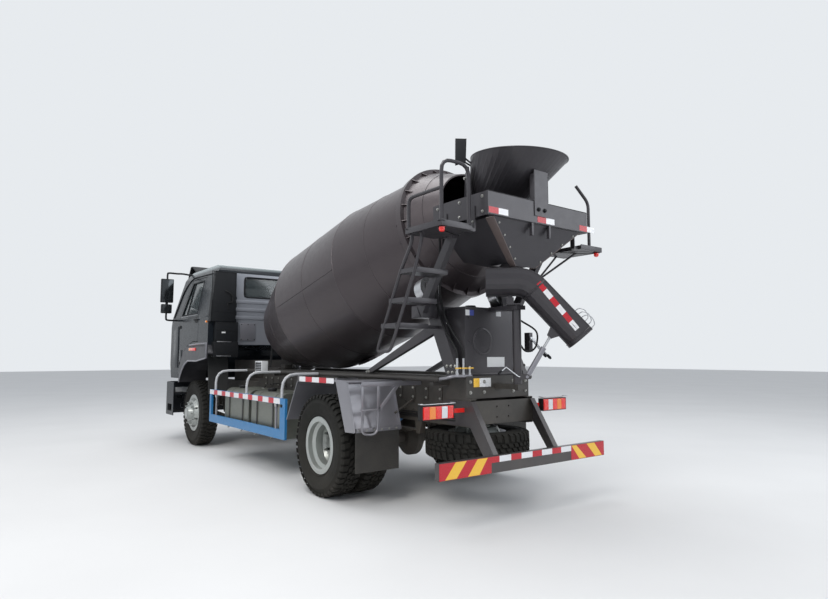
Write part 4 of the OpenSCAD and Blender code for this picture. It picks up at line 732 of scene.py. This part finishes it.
# Bands round the trough at its end and at the elbow
for t0, t1 in ((SLOPE_L - 30, SLOPE_L), (-4, 6)):
    for t in (t0, t1):
        p.tube([on_slope(t, -TROUGH_R - 3, TROUGH_H)] + [on_skin(t, a, 3) for a in range(-90, 91, 9)]
               + [on_slope(t, TROUGH_R + 3, TROUGH_H)], 4, "body", 8)
    for a in range(-90, 90, 9):
        p.faces([on_skin(t0, a, 4), on_skin(t1, a, 4), on_skin(t1, a + 9, 4), on_skin(t0, a + 9, 4)],
                [(0, 1, 2, 3)], "body")
# Red and white cells down the flank that faces the rear
for n in range(6):
    t0, t1 = -20 + 92 * n, -20 + 92 * (n + 1)
    a0, a1 = -86 + 1.8 * n, -84.2 + 1.8 * n
    cell = [on_skin(t0, a0 - 7, 0.3), on_skin(t1, a1 - 7, 0.3), on_skin(t1, a1 + 7, 0.3), on_skin(t0, a0 + 7, 0.3)]
    p.slab(cell, -TAPE * ACROSS, "white" if n % 2 else "red", 0)
# Bent wire handles on the near rim, close to the end
for t in (395, 437, 479):
    p.tube([on_slope(t, -198, 246), on_slope(t + 10, -222, 290), on_slope(t + 60, -236, 312),
            on_slope(t + 120, -224, 290), on_slope(t + 128, -198, 246)], 4.5, "steel", 8, 5)
p.done()

# Crank handle at the jack's foot, and the grease hose's loop on the post
p = Piece("jack_crank", "chute_post")
p.tube([P(-1752, -52, 1262), P(-1746, 0, 1262), P(-1738, 40, 1268), P(-1726, 168, 1345), P(-1724, 186, 1348),
        P(-1722, 256, 1305)], 6.5, "steel", 10, 3)
p.rod(P(-1722, 236, 1317), P(-1722, 276, 1293), 11, "trim")
p.tube([P(-1640, -62, 1825), P(-1660, -130, 1790), P(-1690, -290, 1700), P(-1700, -281, 1572),
        P(-1700, -214, 1510), P(-1700, -120, 1505), P(-1680, -75, 1560), P(-1640, -62, 1650),
        P(-1600, -58, 1815)], 9, "hose", 12, 6)
p.done()


# ---------------------------------------------------------------- mudguards and tail lamps

p = Piece("flap_trim")
for s in (1, -1):
    # Mud flap: bolt strip and ribs
    p.box(P(-727, s * 690, 722), P(-719, s * 1190, 760), "guard", 1)
    p.bolts(P, (-727,), [s * y for y in range(720, 1161, 88)], (741,), -X, 7)
    for z in range(360, 700, 17):
        p.box(P(-721, s * 690, z), P(-719, s * 1190, z + 4), "flap", 0)
    # Folded edges of the slanted plate, its top lip, and the side plate under the top plate
    # These mudguard edges take the pale guard grey, partly a painted reflection of the sky
    for y, t in ((666, 4), (1214, -4)):
        p.slab([P(-574, s * y, 1198), P(-714, s * y, 722), P(-740, s * y, 730), P(-600, s * y, 1204)],
               s * t * Y, "guard", 0)
    p.box(P(-610, s * 666, 1194), P(-566, s * 1214, 1212), "guard")
    p.slab([P(-350, s * 1214, 1222), P(-572, s * 1214, 1212), P(-714, s * 1214, 722), P(-556, s * 1214, 716)],
           -s * 5 * Y, "guard", 0)
    # Stays from the frame
    p.rod(P(-640, s * 432, 1010), P(-668, s * 700, 880), 12, "frame")
    p.rod(P(600, s * 432, 1010), P(650, s * 700, 900), 12, "frame")
# Step bracket on the left: a flat bar from the subframe, two hangers, a brace, the tread and a loop below it
p.box(P(-768, 436, 1160), P(-760, 1163, 1206), "guard")
p.box(P(-768, 1137, 800), P(-762, 1163, 1162), "guard", 1)
p.box(P(-768, 946, 925), P(-762, 982, 1162), "guard", 1)
p.slab([P(-768, y, z) for y, z in ((762, 1161), (710, 1161), (944, 922), (966, 950))], 6 * X, "guard", 1)
p.box(P(-800, 948, 936), P(-740, 1161, 944), "guard")
p.tube([P(-765, y, z) for y, z in ((1150, 840), (1152, 765), (1138, 722), (1090, 704), (1024, 704), (982, 730),
                                   (972, 780), (968, 930))], 11, "guard", 10, 4)
p.done()

# Tail lamps: five ribbed lenses in a housing, and a rod over them
p = Piece("tail_lamp_trim")
LAMP_X, LENS_PITCH, LENS_WIDTH = -1480, 70, 68
for s in (1, -1):
    for k, key in enumerate(("lamp_red", "lamp_clear", "lamp_red", "lamp_amber", "lamp_red")):
        y = 626 + k * LENS_PITCH
        p.box(P(LAMP_X - 9, s * y, 897), P(LAMP_X + 2, s * (y + LENS_WIDTH), 1003), key, 4)
        for z in range(906, 1000, 9):
            p.box(P(LAMP_X - 10.5, s * (y + 6), z), P(LAMP_X - 8, s * (y + LENS_WIDTH - 6), z + 3), key, 0)
    for z in (886, 1008):
        p.box(P(LAMP_X - 4, s * 617, z), P(LAMP_X + 62, s * 984, z + 6), "trim", 1)
    for y in (s * 617, s * 982):
        p.box(P(LAMP_X - 4, y - 3, 886), P(LAMP_X + 62, y + 3, 1014), "trim", 1)
    p.tube([P(LAMP_X + x, s * y, 1030) for x, y in ((50, 612), (-20, 616), (-24, 800), (-20, 984), (50, 988))],
           5, "steel", 8, 4)
p.done()


# ---------------------------------------------------------------- cab

def side_y(z, s, proud=0.0):
    """Where the cab's side lies at height z."""
    lean = 0 if z <= 2130 else 130 * (z - 2130) / 670
    return s * (1150 - lean + proud)


def on_side(x, z, s, proud=0.0):
    return C(x, side_y(z, s, proud), z)


def on_front(y, z, proud):
    return C(1250 - max(0, z - 1980) * 330 / 855 + proud, y, z)


def side_plate(p, s, x0, x1, z0, z1, at, y0, y1, key, bevel):
    """A plate on the cab's side, from y0 to y1 proud of the skin at height at."""
    p.box(C(x0, side_y(at, s, y0), z0), C(x1, side_y(at, s, y1), z1), key, bevel)


def window_seal(p, corners, place, steps, r):
    """A seal round a window. place() puts each flat point of its outline on the wall."""
    for (u0, v0), (u1, v1) in zip(corners, corners[1:] + corners[:1]):
        p.tube([place(u0 + (u1 - u0) * k / steps, v0 + (v1 - v0) * k / steps) for k in range(steps + 1)],
               r, "trim", 8)


p = Piece("cab_trim", "cab")
# Rear wall: a paler skin round the window, pressed ribs, the window's seal and a sound panel
for y0, z0, y1, z1 in ((-1060, 1640, 698, 2415), (-1000, 2745, 745, 2800), (-1025, 2415, -575, 2745),
                       (575, 2415, 745, 2745)):
    p.box(C(-752, y0, z0), C(-749, y1, z1), "wall", 0)
for z in (2050, 2180, 2310):
    p.box(C(-762, -1030, z), C(-751, 738, z + 58), "wall", 6)
loop = []
for y, z, start in ((519, 2689, 0), (-519, 2689, 90), (-519, 2471, 180), (519, 2471, 270)):
    for a in [math.radians(start + 15 * k) for k in range(7)]:
        loop.append(C(-753, y + 55 * math.cos(a), z + 55 * math.sin(a)))
p.tube(loop + loop[:1], 13, "trim", 8)
p.box(C(-766, 372, 1703), C(-750, 634, 1990), "guard", 8)
p.bolts(C, (-766,), (392, 503, 614), (1724, 1968), -X, 6, "trim")
for s in (1, -1):
    # Drip rail over the door, belt line, marker lamp, and the deflector ahead of the door
    p.tube([on_side(x, z, s, proud) for x, z, proud in
            ((-690, 2790, 6), (0, 2806, 6), (480, 2800, 6), (820, 2620, 8), (1010, 2300, 8), (1100, 2140, 6))],
           9, "trim", 10, 6)
    side_plate(p, s, -730, -290, 2075, 2092, 2075, 0, 5, "cab", 2)
    side_plate(p, s, -700, -640, 1985, 2015, 2010, -1, 14, "lamp_amber", 4)
    p.slab([on_side(x, z, s, 1) for x, z in ((770, 1250), (1040, 1250), (1060, 1900), (790, 1980))],
           s * 10 * Y, "cab", 4)
# Windscreen's seal and wipers
window_seal(p, [(-968, 2062), (968, 2062), (888, 2768), (-888, 2768)], lambda y, z: on_front(y, z, 2), 6, 11)
for y in (620, -60):
    a, b = on_front(y, 2030, 14), on_front(y - 330, 2500, 6)
    p.turned(a - 0.03 * X, (1, 0, 0.3), [(0, 0), (22, 0), (20, 40), (0, 45)], "trim", 20)
    p.tube([a + 0.008 * X, a.lerp(b, 0.5) + 0.018 * X, b], 7, "trim", 8, 5)
    p.tube([on_front(y - 170, 2290, -4), on_front(y - 470, 2700, -4)], 6, "trim", 8)
# Front: slats over the grille, a bare band, ribbed lamps
for k, z in enumerate(range(1300, 1800, 42)):
    p.slab([C(x, -726, z + dz) for x, dz in ((1255, 0), (1262, 4), (1262, 18), (1255, 26))], 1452 * Y,
           "cab" if k % 3 == 1 else "trim", 1)
p.box(C(1250, -960, 1880), C(1256, 960, 1960), "trim", 3)
for s in (1, -1):
    p.box(C(1246, s * 780, 1700), C(1255, s * 1060, 1790), "lamp_clear", 12)
    for y in range(800, 1009, 52):
        p.box(C(1254, s * y - 2, 1706), C(1256.5, s * y + 2, 1784), "steel", 0)
# Roof hatch
p.slab([C(-200, -300, 2970), C(260, -300, 2978), C(260, 300, 2978), C(-200, 300, 2970)], 22 * Z, "trim", 10)
p.done()

for side, s in (("left", 1), ("right", -1)):
    p = Piece("door_trim_" + side, side + "_door")
    # Handle over its recess
    y = side_y(2030, s)
    p.slab([C(-175 + 90 * math.cos(a), y + s * 0.8, 2035 + 38 * math.sin(a)) for a in turn(24)],
           s * 2 * Y, "trim", 0)
    p.tube([C(x, y + s * dy, z) for x, dy, z in ((-250, 0, 2052), (-245, 22, 2054), (-170, 30, 2056),
                                                 (-105, 22, 2054), (-100, 0, 2052))], 10, "trim", 12, 6)
    # Bright strip under the window, the window's seal and the bar of its quarter light
    p.tube([on_side(-215, 2136, s, 2), on_side(230, 2134, s, 2), on_side(672, 2132, s, 2)], 7, "steel", 8)
    window_seal(p, [(-178, 2152), (-178, 2708), (393, 2708), (653, 2152)],
                lambda x, z: on_side(x, z, s, -3), 5, 10)
    p.tube([on_side(395, 2152, s, -8), on_side(300, 2708, s, -8)], 10, "trim", 8)
    # Belt line, hinges and the raised panel along the door's foot
    side_plate(p, s, -240, 690, 2088, 2104, 1900, 0, 5, "cab", 2)
    for z in (1330, 1960):
        side_plate(p, s, 668, 728, z - 26, z + 26, z, -2, 12, "trim", 3)
    p.slab([on_side(x, z, s) for x, z in ((640, 1150), (728, 1150), (728, 1560), (560, 1560), (612, 1350))],
           s * 6 * Y, "cab", 3)
    p.done()

# Mirrors' glasses look rearwards
p = Piece("mirror_glasses", "cab")
for s in (1, -1):
    for y0, z0, y1, z1 in ((1262, 2412, 1449, 2808), (1282, 2222, 1433, 2358)):
        p.box(C(837, s * y0, z0), C(841, s * y1, z1), "mirror", 1)
p.done()

# Mirrors on their arms, a tall one over a small one
p = Piece("mirror_set", "cab")
for s in (1, -1):
    for x0, y0, z0, x1, y1, z1, bevel in ((840, 1250, 2400, 910, 1461, 2820, 14),
                                          (840, 1270, 2210, 920, 1445, 2370, 14),
                                          (860, 1335, 2360, 890, 1375, 2410, 0)):
        p.box(C(x0, s * y0, z0), C(x1, s * y1, z1), "trim", bevel)
    for arm in (((690, 950, 2890), (820, 1100, 2925), (880, 1190, 2930), (880, 1330, 2930), (880, 1355, 2905),
                 (880, 1355, 2810)),
                ((880, 1355, 2220), (880, 1355, 2120), (888, 1325, 2090), (930, 1146, 2090))):
        p.tube([C(x, s * y, z) for x, y, z in arm], 16, "trim", 12, 4)
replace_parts(p.done(), "mirrors")

# Sun visor: a scoop across the roof's front edge
p = Piece("visor", "cab")
p.slab([C(x, -920, z) for x, z in ((600, 2950), (880, 3085), (1000, 3090), (1130, 2900), (1120, 2885), (985, 3070),
                                   (885, 3065), (640, 2930))], 1840 * Y, "trim", 0)
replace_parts(p.done(), "sun_visor")

# Intake: upper panel, duct and lower box against the cab's rear wall
p = Piece("intake_stack", "cab")
p.slab([C(-860, y, z) for y, z in ((748, 2000), (1150, 2000), (1150, 2130), (1085, 2800), (748, 2800))],
       109.7 * X, "trim", 6)
p.box(C(-850, 700, 1680), C(-750.3, 1065, 2001), "trim", 6)
p.box(C(-860, 695, 1441), C(-750.3, 1090, 1681), "trim", 10)
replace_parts(p.done(), "intake_panel")

# Fenders: the flange that stands down from the arch, a pale lip tube that paints the highlight on its edge, a
# splash plate and marker lamps
ARCH_R, ARCH_Z = 559, 1070
p = Piece("fender_trim", "cab")
arch = [(ARCH_R * math.cos(a), ARCH_Z + ARCH_R * math.sin(a)) for a in map(math.radians, range(90, -1, -10))]
edge = [(520, 1010), (500, 1070), (409, 1185), (250, 1310), (60, 1375), (-400, 1375), (-860, 1426), (-860, 1652)]
for s in (1, -1):
    p.slab([C(x, s * 1180, z) for x, z in arch + edge], s * 20 * Y, "fender", 0)
    p.slab([C(x, s * 780, z) for x, z in ((-620, 1606), (-710, 866), (-722, 866), (-632, 1606))],
           s * 320 * Y, "flap", 0)
    # Pale tube along the fender's edge: a painted highlight of the flared edge
    p.tube([C(max(x, -858), s * 1201, z + 2) for x, z in edge + [(-500, 1650), (0, 1632)]], 13, "guard", 8)
    p.box(C(-340, s * 1197, 1542), C(-96, s * 1212, 1588), "lamp_red", 6)
    p.box(C(-92, s * 1197, 1542), C(0, s * 1212, 1588), "lamp_amber", 6)
p.done()

# Intake: blades in its slot, edge ribs, seams, two bright bands, a bare label and a hooked hose
p = Piece("intake_trim", "cab")
for z in range(2714, 2768, 14):
    p.slab([C(x, 792, z + dz) for x, dz in ((-858, 0), (-858, 3), (-838, 10), (-838, 7))], 316 * Y, "trim", 0)
for y in (752, 1136):
    p.box(C(-866, y, 2006), C(-859, y + 10, 2794), "trim")
for x, y0, y1, z in ((-864, 752, 1146, 2786), (-864, 752, 1146, 2152), (-864, 752, 1146, 2006),
                     (-854, 704, 1060, 1856)):
    p.box(C(x, y0, z), C(x + 6, y1, z + 8), "trim", 1)
for z in (1674, 1450):
    p.box(C(-865, 812, z), C(-858, 1044, z + 14), "steel", 3)
p.box(C(-853, 905, 1816), C(-849, 965, 1838), "label", 1)
p.tube([C(-862, 936, 2484), C(-872, 880, 2466), C(-874, 821, 2411), C(-874, 818, 2315), C(-872, 882, 2296),
        C(-862, 871, 2200)], 10, "hose", 10, 6)
p.done()


# ---------------------------------------------------------------- furniture of the cab

def cushion(p, centre, half, crown, tilt, n=14):
    """A padded block round centre: its faces swell by the share crown, and its edges draw in."""
    verts, quads, index = [], [], {}

    def corner(u):
        k = tuple(round(c, 5) for c in u)
        if k not in index:
            q = []
            for i in range(3):
                edge = (1 - u[(i + 1) % 3] ** 4) * (1 - u[(i + 2) % 3] ** 4)
                swell = math.copysign(crown, u[i]) * edge if abs(u[i]) > 0.99 else 0
                q.append((u[i] * (1 - 0.10 * (1 - edge)) + swell) * half[i])
            index[k] = len(verts)
            verts.append(centre + tilt @ Vector(q) * MM)
        return index[k]

    for axis in range(3):
        for sign in (-1, 1):
            for i in range(n):
                for j in range(n):
                    face = []
                    for di, dj in ((0, 0), (1, 0), (1, 1), (0, 1)):
                        u = [0, 0, 0]
                        u[axis] = sign
                        u[(axis + 1) % 3] = -1 + 2 * (i + di) / n
                        u[(axis + 2) % 3] = -1 + 2 * (j + dj) / n
                        face.append(corner(u))
                    quads.append(tuple(face[::sign]))
    p.faces(verts, quads, "seat")


UPRIGHT, LEANING = Matrix.Identity(3), Matrix.Rotation(math.radians(-8.5), 3, "Y")
for s, who in ((1, "driver"), (-1, "passenger")):
    for part, x, z, half, crown, tilt in (("seat", -55, 1900, (235, 225, 70), 0.10, UPRIGHT),
                                          ("back", -245, 2260, (62, 220, 310), 0.12, LEANING),
                                          ("head", -300, 2655, (45, 130, 75), 0.14, LEANING)):
        p = Piece("%s_%s_pad" % (who, part), "cab", 60)
        c = C(x, s * 560, z)
        cushion(p, c, half, crown, tilt)
        # Sewn piping round the pad
        i, j = (0, 1) if part == "seat" else (1, 2)
        loop = []
        for a, b in squared(48, 0.8, 1):
            v = Vector(half) * 1.06
            v[i], v[j] = a * half[i] * 0.86, b * half[j] * 0.86
            loop.append(c + tilt @ v * MM)
        p.tube(loop, 4, "trim", 6)
        ob = p.done()

WHEEL_TILT = Matrix.Rotation(math.radians(-62), 3, "Y")


def at_wheel(degrees, r, h):
    """A point of the steering wheel, r from its middle and h above the plane of its rim."""
    a = math.radians(degrees)
    return C(560, 560, 2030) + WHEEL_TILT @ Vector((r * math.cos(a), r * math.sin(a), h)) * MM


p = Piece("cab_furniture", "cab")
for s in (1, -1):
    # Seat boxes and the head rests' rods
    p.box(C(-290, s * 560 - 210, 1672), C(170, s * 560 + 210, 1828), "dash", 15)
    for y in (s * 560 + 60, s * 560 - 60):
        p.rod(C(-290, y, 2560), C(-302, y, 2600), 6, "steel")
# Dashboard with its dials and vents
dash = [(800, 1260), (1140, 1260), (1140, 1950), (1000, 2005), (870, 1960), (815, 1880), (800, 1700)]
p.slab([C(x, -1100, z) for x, z in dash], 2200 * Y, "dash", 12)
p.box(C(790, 340, 1760), C(806, 780, 1900), "trim", 10)
for y in (430, 560, 690):
    p.turned(C(792, y, 1835), -X, [(50, -10), (50, 6), (44, 6), (42, 0), (0, 0)], "seam", 28)
for y in (-850, -300, 60):
    for z in (1850, 1865, 1880):
        p.box(C(796, y, z), C(806, y + 150, z + 6), "trim", 1)
# Steering wheel on its column
p.tube([at_wheel(7.5 * k, 220, 0) for k in range(49)], 13.5, "trim", 12)
for degrees in (20, 110, 200, 290):
    p.tube([at_wheel(degrees, 50, -12), at_wheel(degrees, 215, 0)], 11, "trim", 8)
p.turned(at_wheel(0, 0, -30), WHEEL_TILT @ Z, [(0, 0), (60, 0), (75, 20), (60, 35), (0, 38)], "trim", 32)
p.rod(C(815, 560, 1900), at_wheel(0, 0, -20), 28, "trim")
ob = p.done()
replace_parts(ob, "cab_interior")


# ---------------------------------------------------------------- chassis

p = Piece("tank_trim")
for x0, x1 in ((1250, 2150), (2250, 3150)):
    # Fuel tanks: pressed ends, straps, filler cap, and the fuel line from its fitting
    for x, out in ((x0, -X), (x1, X)):
        p.slab([P(x, 780 + 211.5 * y, 710 + 211.5 * z) for y, z in squared(40, 0.62)], 6 * out, "tank", 4)
    for x in (x0 + 180, x1 - 220):
        p.box(P(x + 6, 1066, 480), P(x + 39, 1070, 940), "seam", 1)
        p.bolt(P(x + 22, 1069, 500), Y, 10)
        p.rod(P(x + 22, 1050, 450), P(x + 22, 1085, 430), 8, "zinc")
    x = (x0 + x1) / 2
    p.turned(P(x + 150, 900, 990), Z, [(55, 0), (55, 14), (62, 16), (62, 38), (54, 44), (0, 44)], "trim", 40)
    p.turned(P(x - 200, 740, 990), Z, [(28, 0), (28, 12), (0, 16)], "zinc", 24)
    p.tube([P(x - 200, 740, 1000), P(x - 220, 700, 1040), P(x - 260, 600, 1060), P(x - 300, 470, 1040),
            P(x - 320, 440, 1000)], 6, "hose", 10, 6)
# Air tanks' domed ends and bands, and the battery box's lid with its clamps
for z in (600, 880):
    for x, out in ((1500, -X), (2500, X)):
        p.turned(P(x, -720, z), out, [(118, -4), (112, 14), (90, 30), (50, 40), (0, 43)], "frame", 40)
    for x in (1760, 2240):
        p.turned(P(x, -720, z), X, [(119, -18), (122.5, -18), (122.5, 18), (119, 18)], "zinc", 48)
p.box(P(2640, -1046, 930), P(3260, -432, 968), "trim", 6)
for x in (2760, 3120):
    p.box(P(x, -1054, 880), P(x + 40, -1040, 950), "zinc", 3)
p.done()

# Bolts and brackets of the rails, springs' clamps, brakes, pipes along the left rail
p = Piece("frame_bolts")
for s in (1, -1):
    for x in (-1400, -560, 560, 1700, 2900):
        p.bolts(P, (x - 70, x + 70), (s * 430,), (905, 985), s * Y, 9, "frame")
    for x in range(-1100, 3300, 220):
        p.box(P(x, s * 430, 1010), P(x + 60, s * 438, 1150), "frame")
        p.bolts(P, (x + 30,), (s * 438,), (1035, 1125), s * Y, 9)
    # Springs: U-bolts and saddle on the axle, clamps round the leaves
    for x, top, low, leaves in ((0, 700, 590, 5), (4500, 600, 470, 3)):
        for dx in (-52, 52):
            for y in (s * 345, s * 435):
                p.rod(P(x + dx, y, low - 70), P(x + dx, y, top + 24), 10, "cast")
                p.bolt(P(x + dx, y, low - 60), -Z, 14, washer=False)
        p.box(P(x - 75, s * 342, top + 0.5), P(x + 75, s * 438, top + 22), "cast", 3)
        for dx in (-330, 330):
            p.box(P(x + dx - 18, s * 348, top - 14 * (leaves - 1)), P(x + dx + 18, s * 432, top + 4), "cast")
    # Shock absorbers
    for a, b in ((P(4700, s * 480, 500), P(4860, s * 470, 830)), (P(-170, s * 470, 560), P(-330, s * 470, 830))):
        p.rod(a, a.lerp(b, 0.58), 34, "frame", 24)
        p.rod(a.lerp(b, 0.50), b, 14, "steel")
        p.rod(a.lerp(b, 0.46), a.lerp(b, 0.86), 40, "frame", 24)
    # Brake chambers and hubs on the rear axle, with the brake hoses
    c = P(190, s * 560, 610)
    p.turned(c, (1, 0, 0.25), [(0, -70), (70, -70), (86, -30), (90, 0), (96, 4), (96, 14), (90, 18), (86, 60),
                               (70, 110), (0, 115)], "cast", 32)
    p.rod(c, P(60, s * 560, 540), 10, "zinc")
    p.rod(P(0, s * 450, 527), P(0, s * 610, 527), 95, "cast", 32, 10)
    p.tube([P(290, s * 560, 640), P(330, s * 520, 700), P(300, s * 440, 800), P(200, s * 300, 820),
            P(0, s * 120, 760)], 7, "hose", 10, 6)
for z, r in ((880, 6), (858, 7), (838, 8)):
    p.tube([P(-1300, 436, z), P(0, 437, z), P(1200, 437, z - 2), P(2600, 437, z), P(3500, 437, z + 4)],
           r, "hose", 8, 3)
# Prop shaft joints
for x, z in ((360, 588), (1860, 688), (1945, 692), (3680, 760)):
    p.turned(P(x, 0, z), (1, 0, 0.02), [(0, -30), (66, -30), (70, -12), (70, 12), (66, 30), (0, 30)], "cast", 32)
p.done()

# Cooler box on the deck, drum drive's flange, motor and hoses, bands of the air cleaner
p = Piece("deck_fittings")
p.box(P(2560, 658, 1228), P(2800, 756, 1384), "label", 6)
p.box(P(2576, 752, 1244), P(2784, 757.5, 1368), "trim")
for z in range(1258, 1360, 24):
    p.box(P(2584, 755, z), P(2776, 761, z + 9), "steel", 1)
p.box(P(2500, 300, 1266), P(2640, 420, 1330), "frame", 4)
p.turned(at_drum(3850), along, [(150, 20), (215, 25), (220, 35), (220, 60), (215, 68), (150, 70)], "frame", 48)
for a in turn(16):
    p.bolt(at_drum(3916, spoke(a), 190), along, 10)
motor = at_drum(4112)
p.turned(motor, along, [(148, -20), (130, 10), (95, 20), (95, 150), (80, 165), (0, 170)], "cast", 40)
p.box(motor + Vector((30, -70, 60)) * MM, motor + Vector((130, 70, 120)) * MM, "cast", 10)
for s in (-1, 1):
    p.tube([motor + Vector((x, s * y, z)) * MM for x, y, z in ((80, 40, 120), (100, 80, 200), (200, 160, 100),
                                                               (240, 200, -200), (220, 240, -550))],
           16, "hose", 12, 8)
for z in (2080, 2380):
    p.turned(P(3330, -250, z), Z, [(150, -16), (153.5, -15), (153.5, 15), (150, 16)], "zinc", 56)
p.done()

# Side guards: tape all along the top rail, uprights inside the frame, brackets, rear end posts
p = Piece("guard_trim")
for s in (1, -1):
    p.tape(P(1070, s * 1150.3, 915), P(3560, s * 1150.3, 915), Z, s * Y, 66, "white", (180, 150) * 7 + (180,))
    for x in (1200, 3300):
        p.rod(P(x, s * 1135, 575), P(x, s * 1135, 885), 14, "guard")
        p.box(P(x - 28, s * 1121, 842), P(x + 28, s * 1152, 878), "zinc", 3)
    p.box(P(998, s * 1122, 578), P(1070, s * 1149.5, 842), "blue_paint", 0)
p.done()

# Front lamps with reflectors and rims, step treads, fog lamps, bumper's grille, blank plate
p = Piece("bumper_trim")
for s in (1, -1):
    for y in (800, 930):
        p.turned(C(1298, s * y, 830), -X, [(50, 0), (45, 6), (0, 12)], "lamp_clear", 32)
        p.turned(C(1297, s * y, 830), X, [(54, 0), (54, 2.5), (50, 2.5)], "steel", 32)
    p.box(C(1292, s * 1000 - 24, 785), C(1299, s * 1000 + 24, 875), "lamp_amber", 3)
    for z, y in ((500, 960), (810, 970)):
        for x in range(815, 1046, 46):
            p.box(C(x, s * y, z), C(x + 23, s * 1212, z + 6), "trim", 1)
    p.turned(C(1300, s * 880, 560), X, [(55, -20), (58, -2), (52, -1), (0, -3)], "lamp_clear", 36)
for z in range(650, 756, 16):
    p.box(C(1240, -328, z), C(1246, 328, z + 5), "trim", 0)
p.box(C(1299, -260, 800), C(1299.9, 260, 910), "plate", 0)
p.done()


# ---------------------------------------------------------------- floor, light and world

HALF_FLOOR = 60.0       # metres
floor_mesh = bpy.data.meshes.new("floor")
floor_mesh.from_pydata([(x * HALF_FLOOR, y * HALF_FLOOR, 0) for x, y in ((-1, -1), (1, -1), (1, 1), (-1, 1))],
                       [], [(0, 1, 2, 3)])
floor = bpy.data.objects.new("floor", floor_mesh)
scene.collection.objects.link(floor)
floor_mat = bpy.data.materials.new("floor")
floor_mat.use_nodes = True
tree = floor_mat.node_tree
cloud = node(tree, "TexNoise", {"Vector": node(tree, "TexCoord").outputs["Object"], "Scale": 0.6, "Detail": 6})
grey = node(tree, "MapRange", {"Value": cloud.outputs["Fac"], "To Min": 0.62, "To Max": 0.70}).outputs[0]
shader = tree.nodes["Principled BSDF"]
shader.inputs["Roughness"].default_value = 0.8
tree.links.new(node(tree, "CombineColor", {0: grey, 1: grey, 2: grey}).outputs[0], shader.inputs["Base Color"])
floor_mesh.materials.append(floor_mat)
floor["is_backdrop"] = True

# (height from nadir to zenith as a share, colour) of the sky that lights the truck
SKY = [(0.0, (0.30, 0.29, 0.27, 1)), (0.49, (0.34, 0.34, 0.33, 1)), (0.53, (0.62, 0.66, 0.70, 1)),
       (0.75, (0.78, 0.84, 0.92, 1)), (1.0, (0.95, 0.97, 1.0, 1))]
BACKDROP = (0.80, 0.83, 0.86, 1)

world = bpy.data.worlds.new("world")
scene.world = world
world.use_nodes = True
tree = world.node_tree
tree.nodes.clear()
up = node(tree, "SeparateXYZ", {0: node(tree, "TexCoord").outputs["Generated"]}).outputs[2]
share = node(tree, "Math", {0: up, 1: 0.5, 2: 0.5}, operation="MULTIPLY_ADD").outputs[0]
ramp = node(tree, "ValToRGB", {0: share})
while len(ramp.color_ramp.elements) < len(SKY):
    ramp.color_ramp.elements.new(0.5)
for stop, (height, color) in zip(ramp.color_ramp.elements, SKY):
    stop.position, stop.color = height, color
sky = node(tree, "Background", {0: ramp.outputs[0], 1: 0.75}).outputs[0]
backdrop = node(tree, "Background", {0: BACKDROP, 1: 1.0}).outputs[0]
# Camera, mirror and see-through rays find the plain backdrop, all others the soft sky
rays = node(tree, "LightPath").outputs
seen = rays["Is Camera Ray"]
for name in ("Is Glossy Ray", "Is Transmission Ray"):
    seen = node(tree, "Math", {0: seen, 1: rays[name]}, operation="MAXIMUM").outputs[0]
node(tree, "OutputWorld", {0: node(tree, "MixShader", {0: seen, 1: sky, 2: backdrop}).outputs[0]})


def area(name, at, to, size, power, color=(1, 1, 1)):
    """A round area light that looks from one place to another, in metres."""
    d = bpy.data.lights.new(name, "AREA")
    d.shape, d.size, d.energy, d.color = "DISK", size, power, color
    o = bpy.data.objects.new(name, d)
    scene.collection.objects.link(o)
    o.location = at
    o.rotation_euler = (Vector(to) - Vector(at)).to_track_quat("-Z", "Y").to_euler()


area("key", (-7, 9, 11), (0, 0, 1.2), 7, 900, (1.0, 0.98, 0.95))
area("fill", (-11, -7, 6), (-1, 0, 1.2), 8, 350, (0.92, 0.96, 1.0))
area("top", (1, 1, 12), (0, 0, 1), 9, 700)

lo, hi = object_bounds()
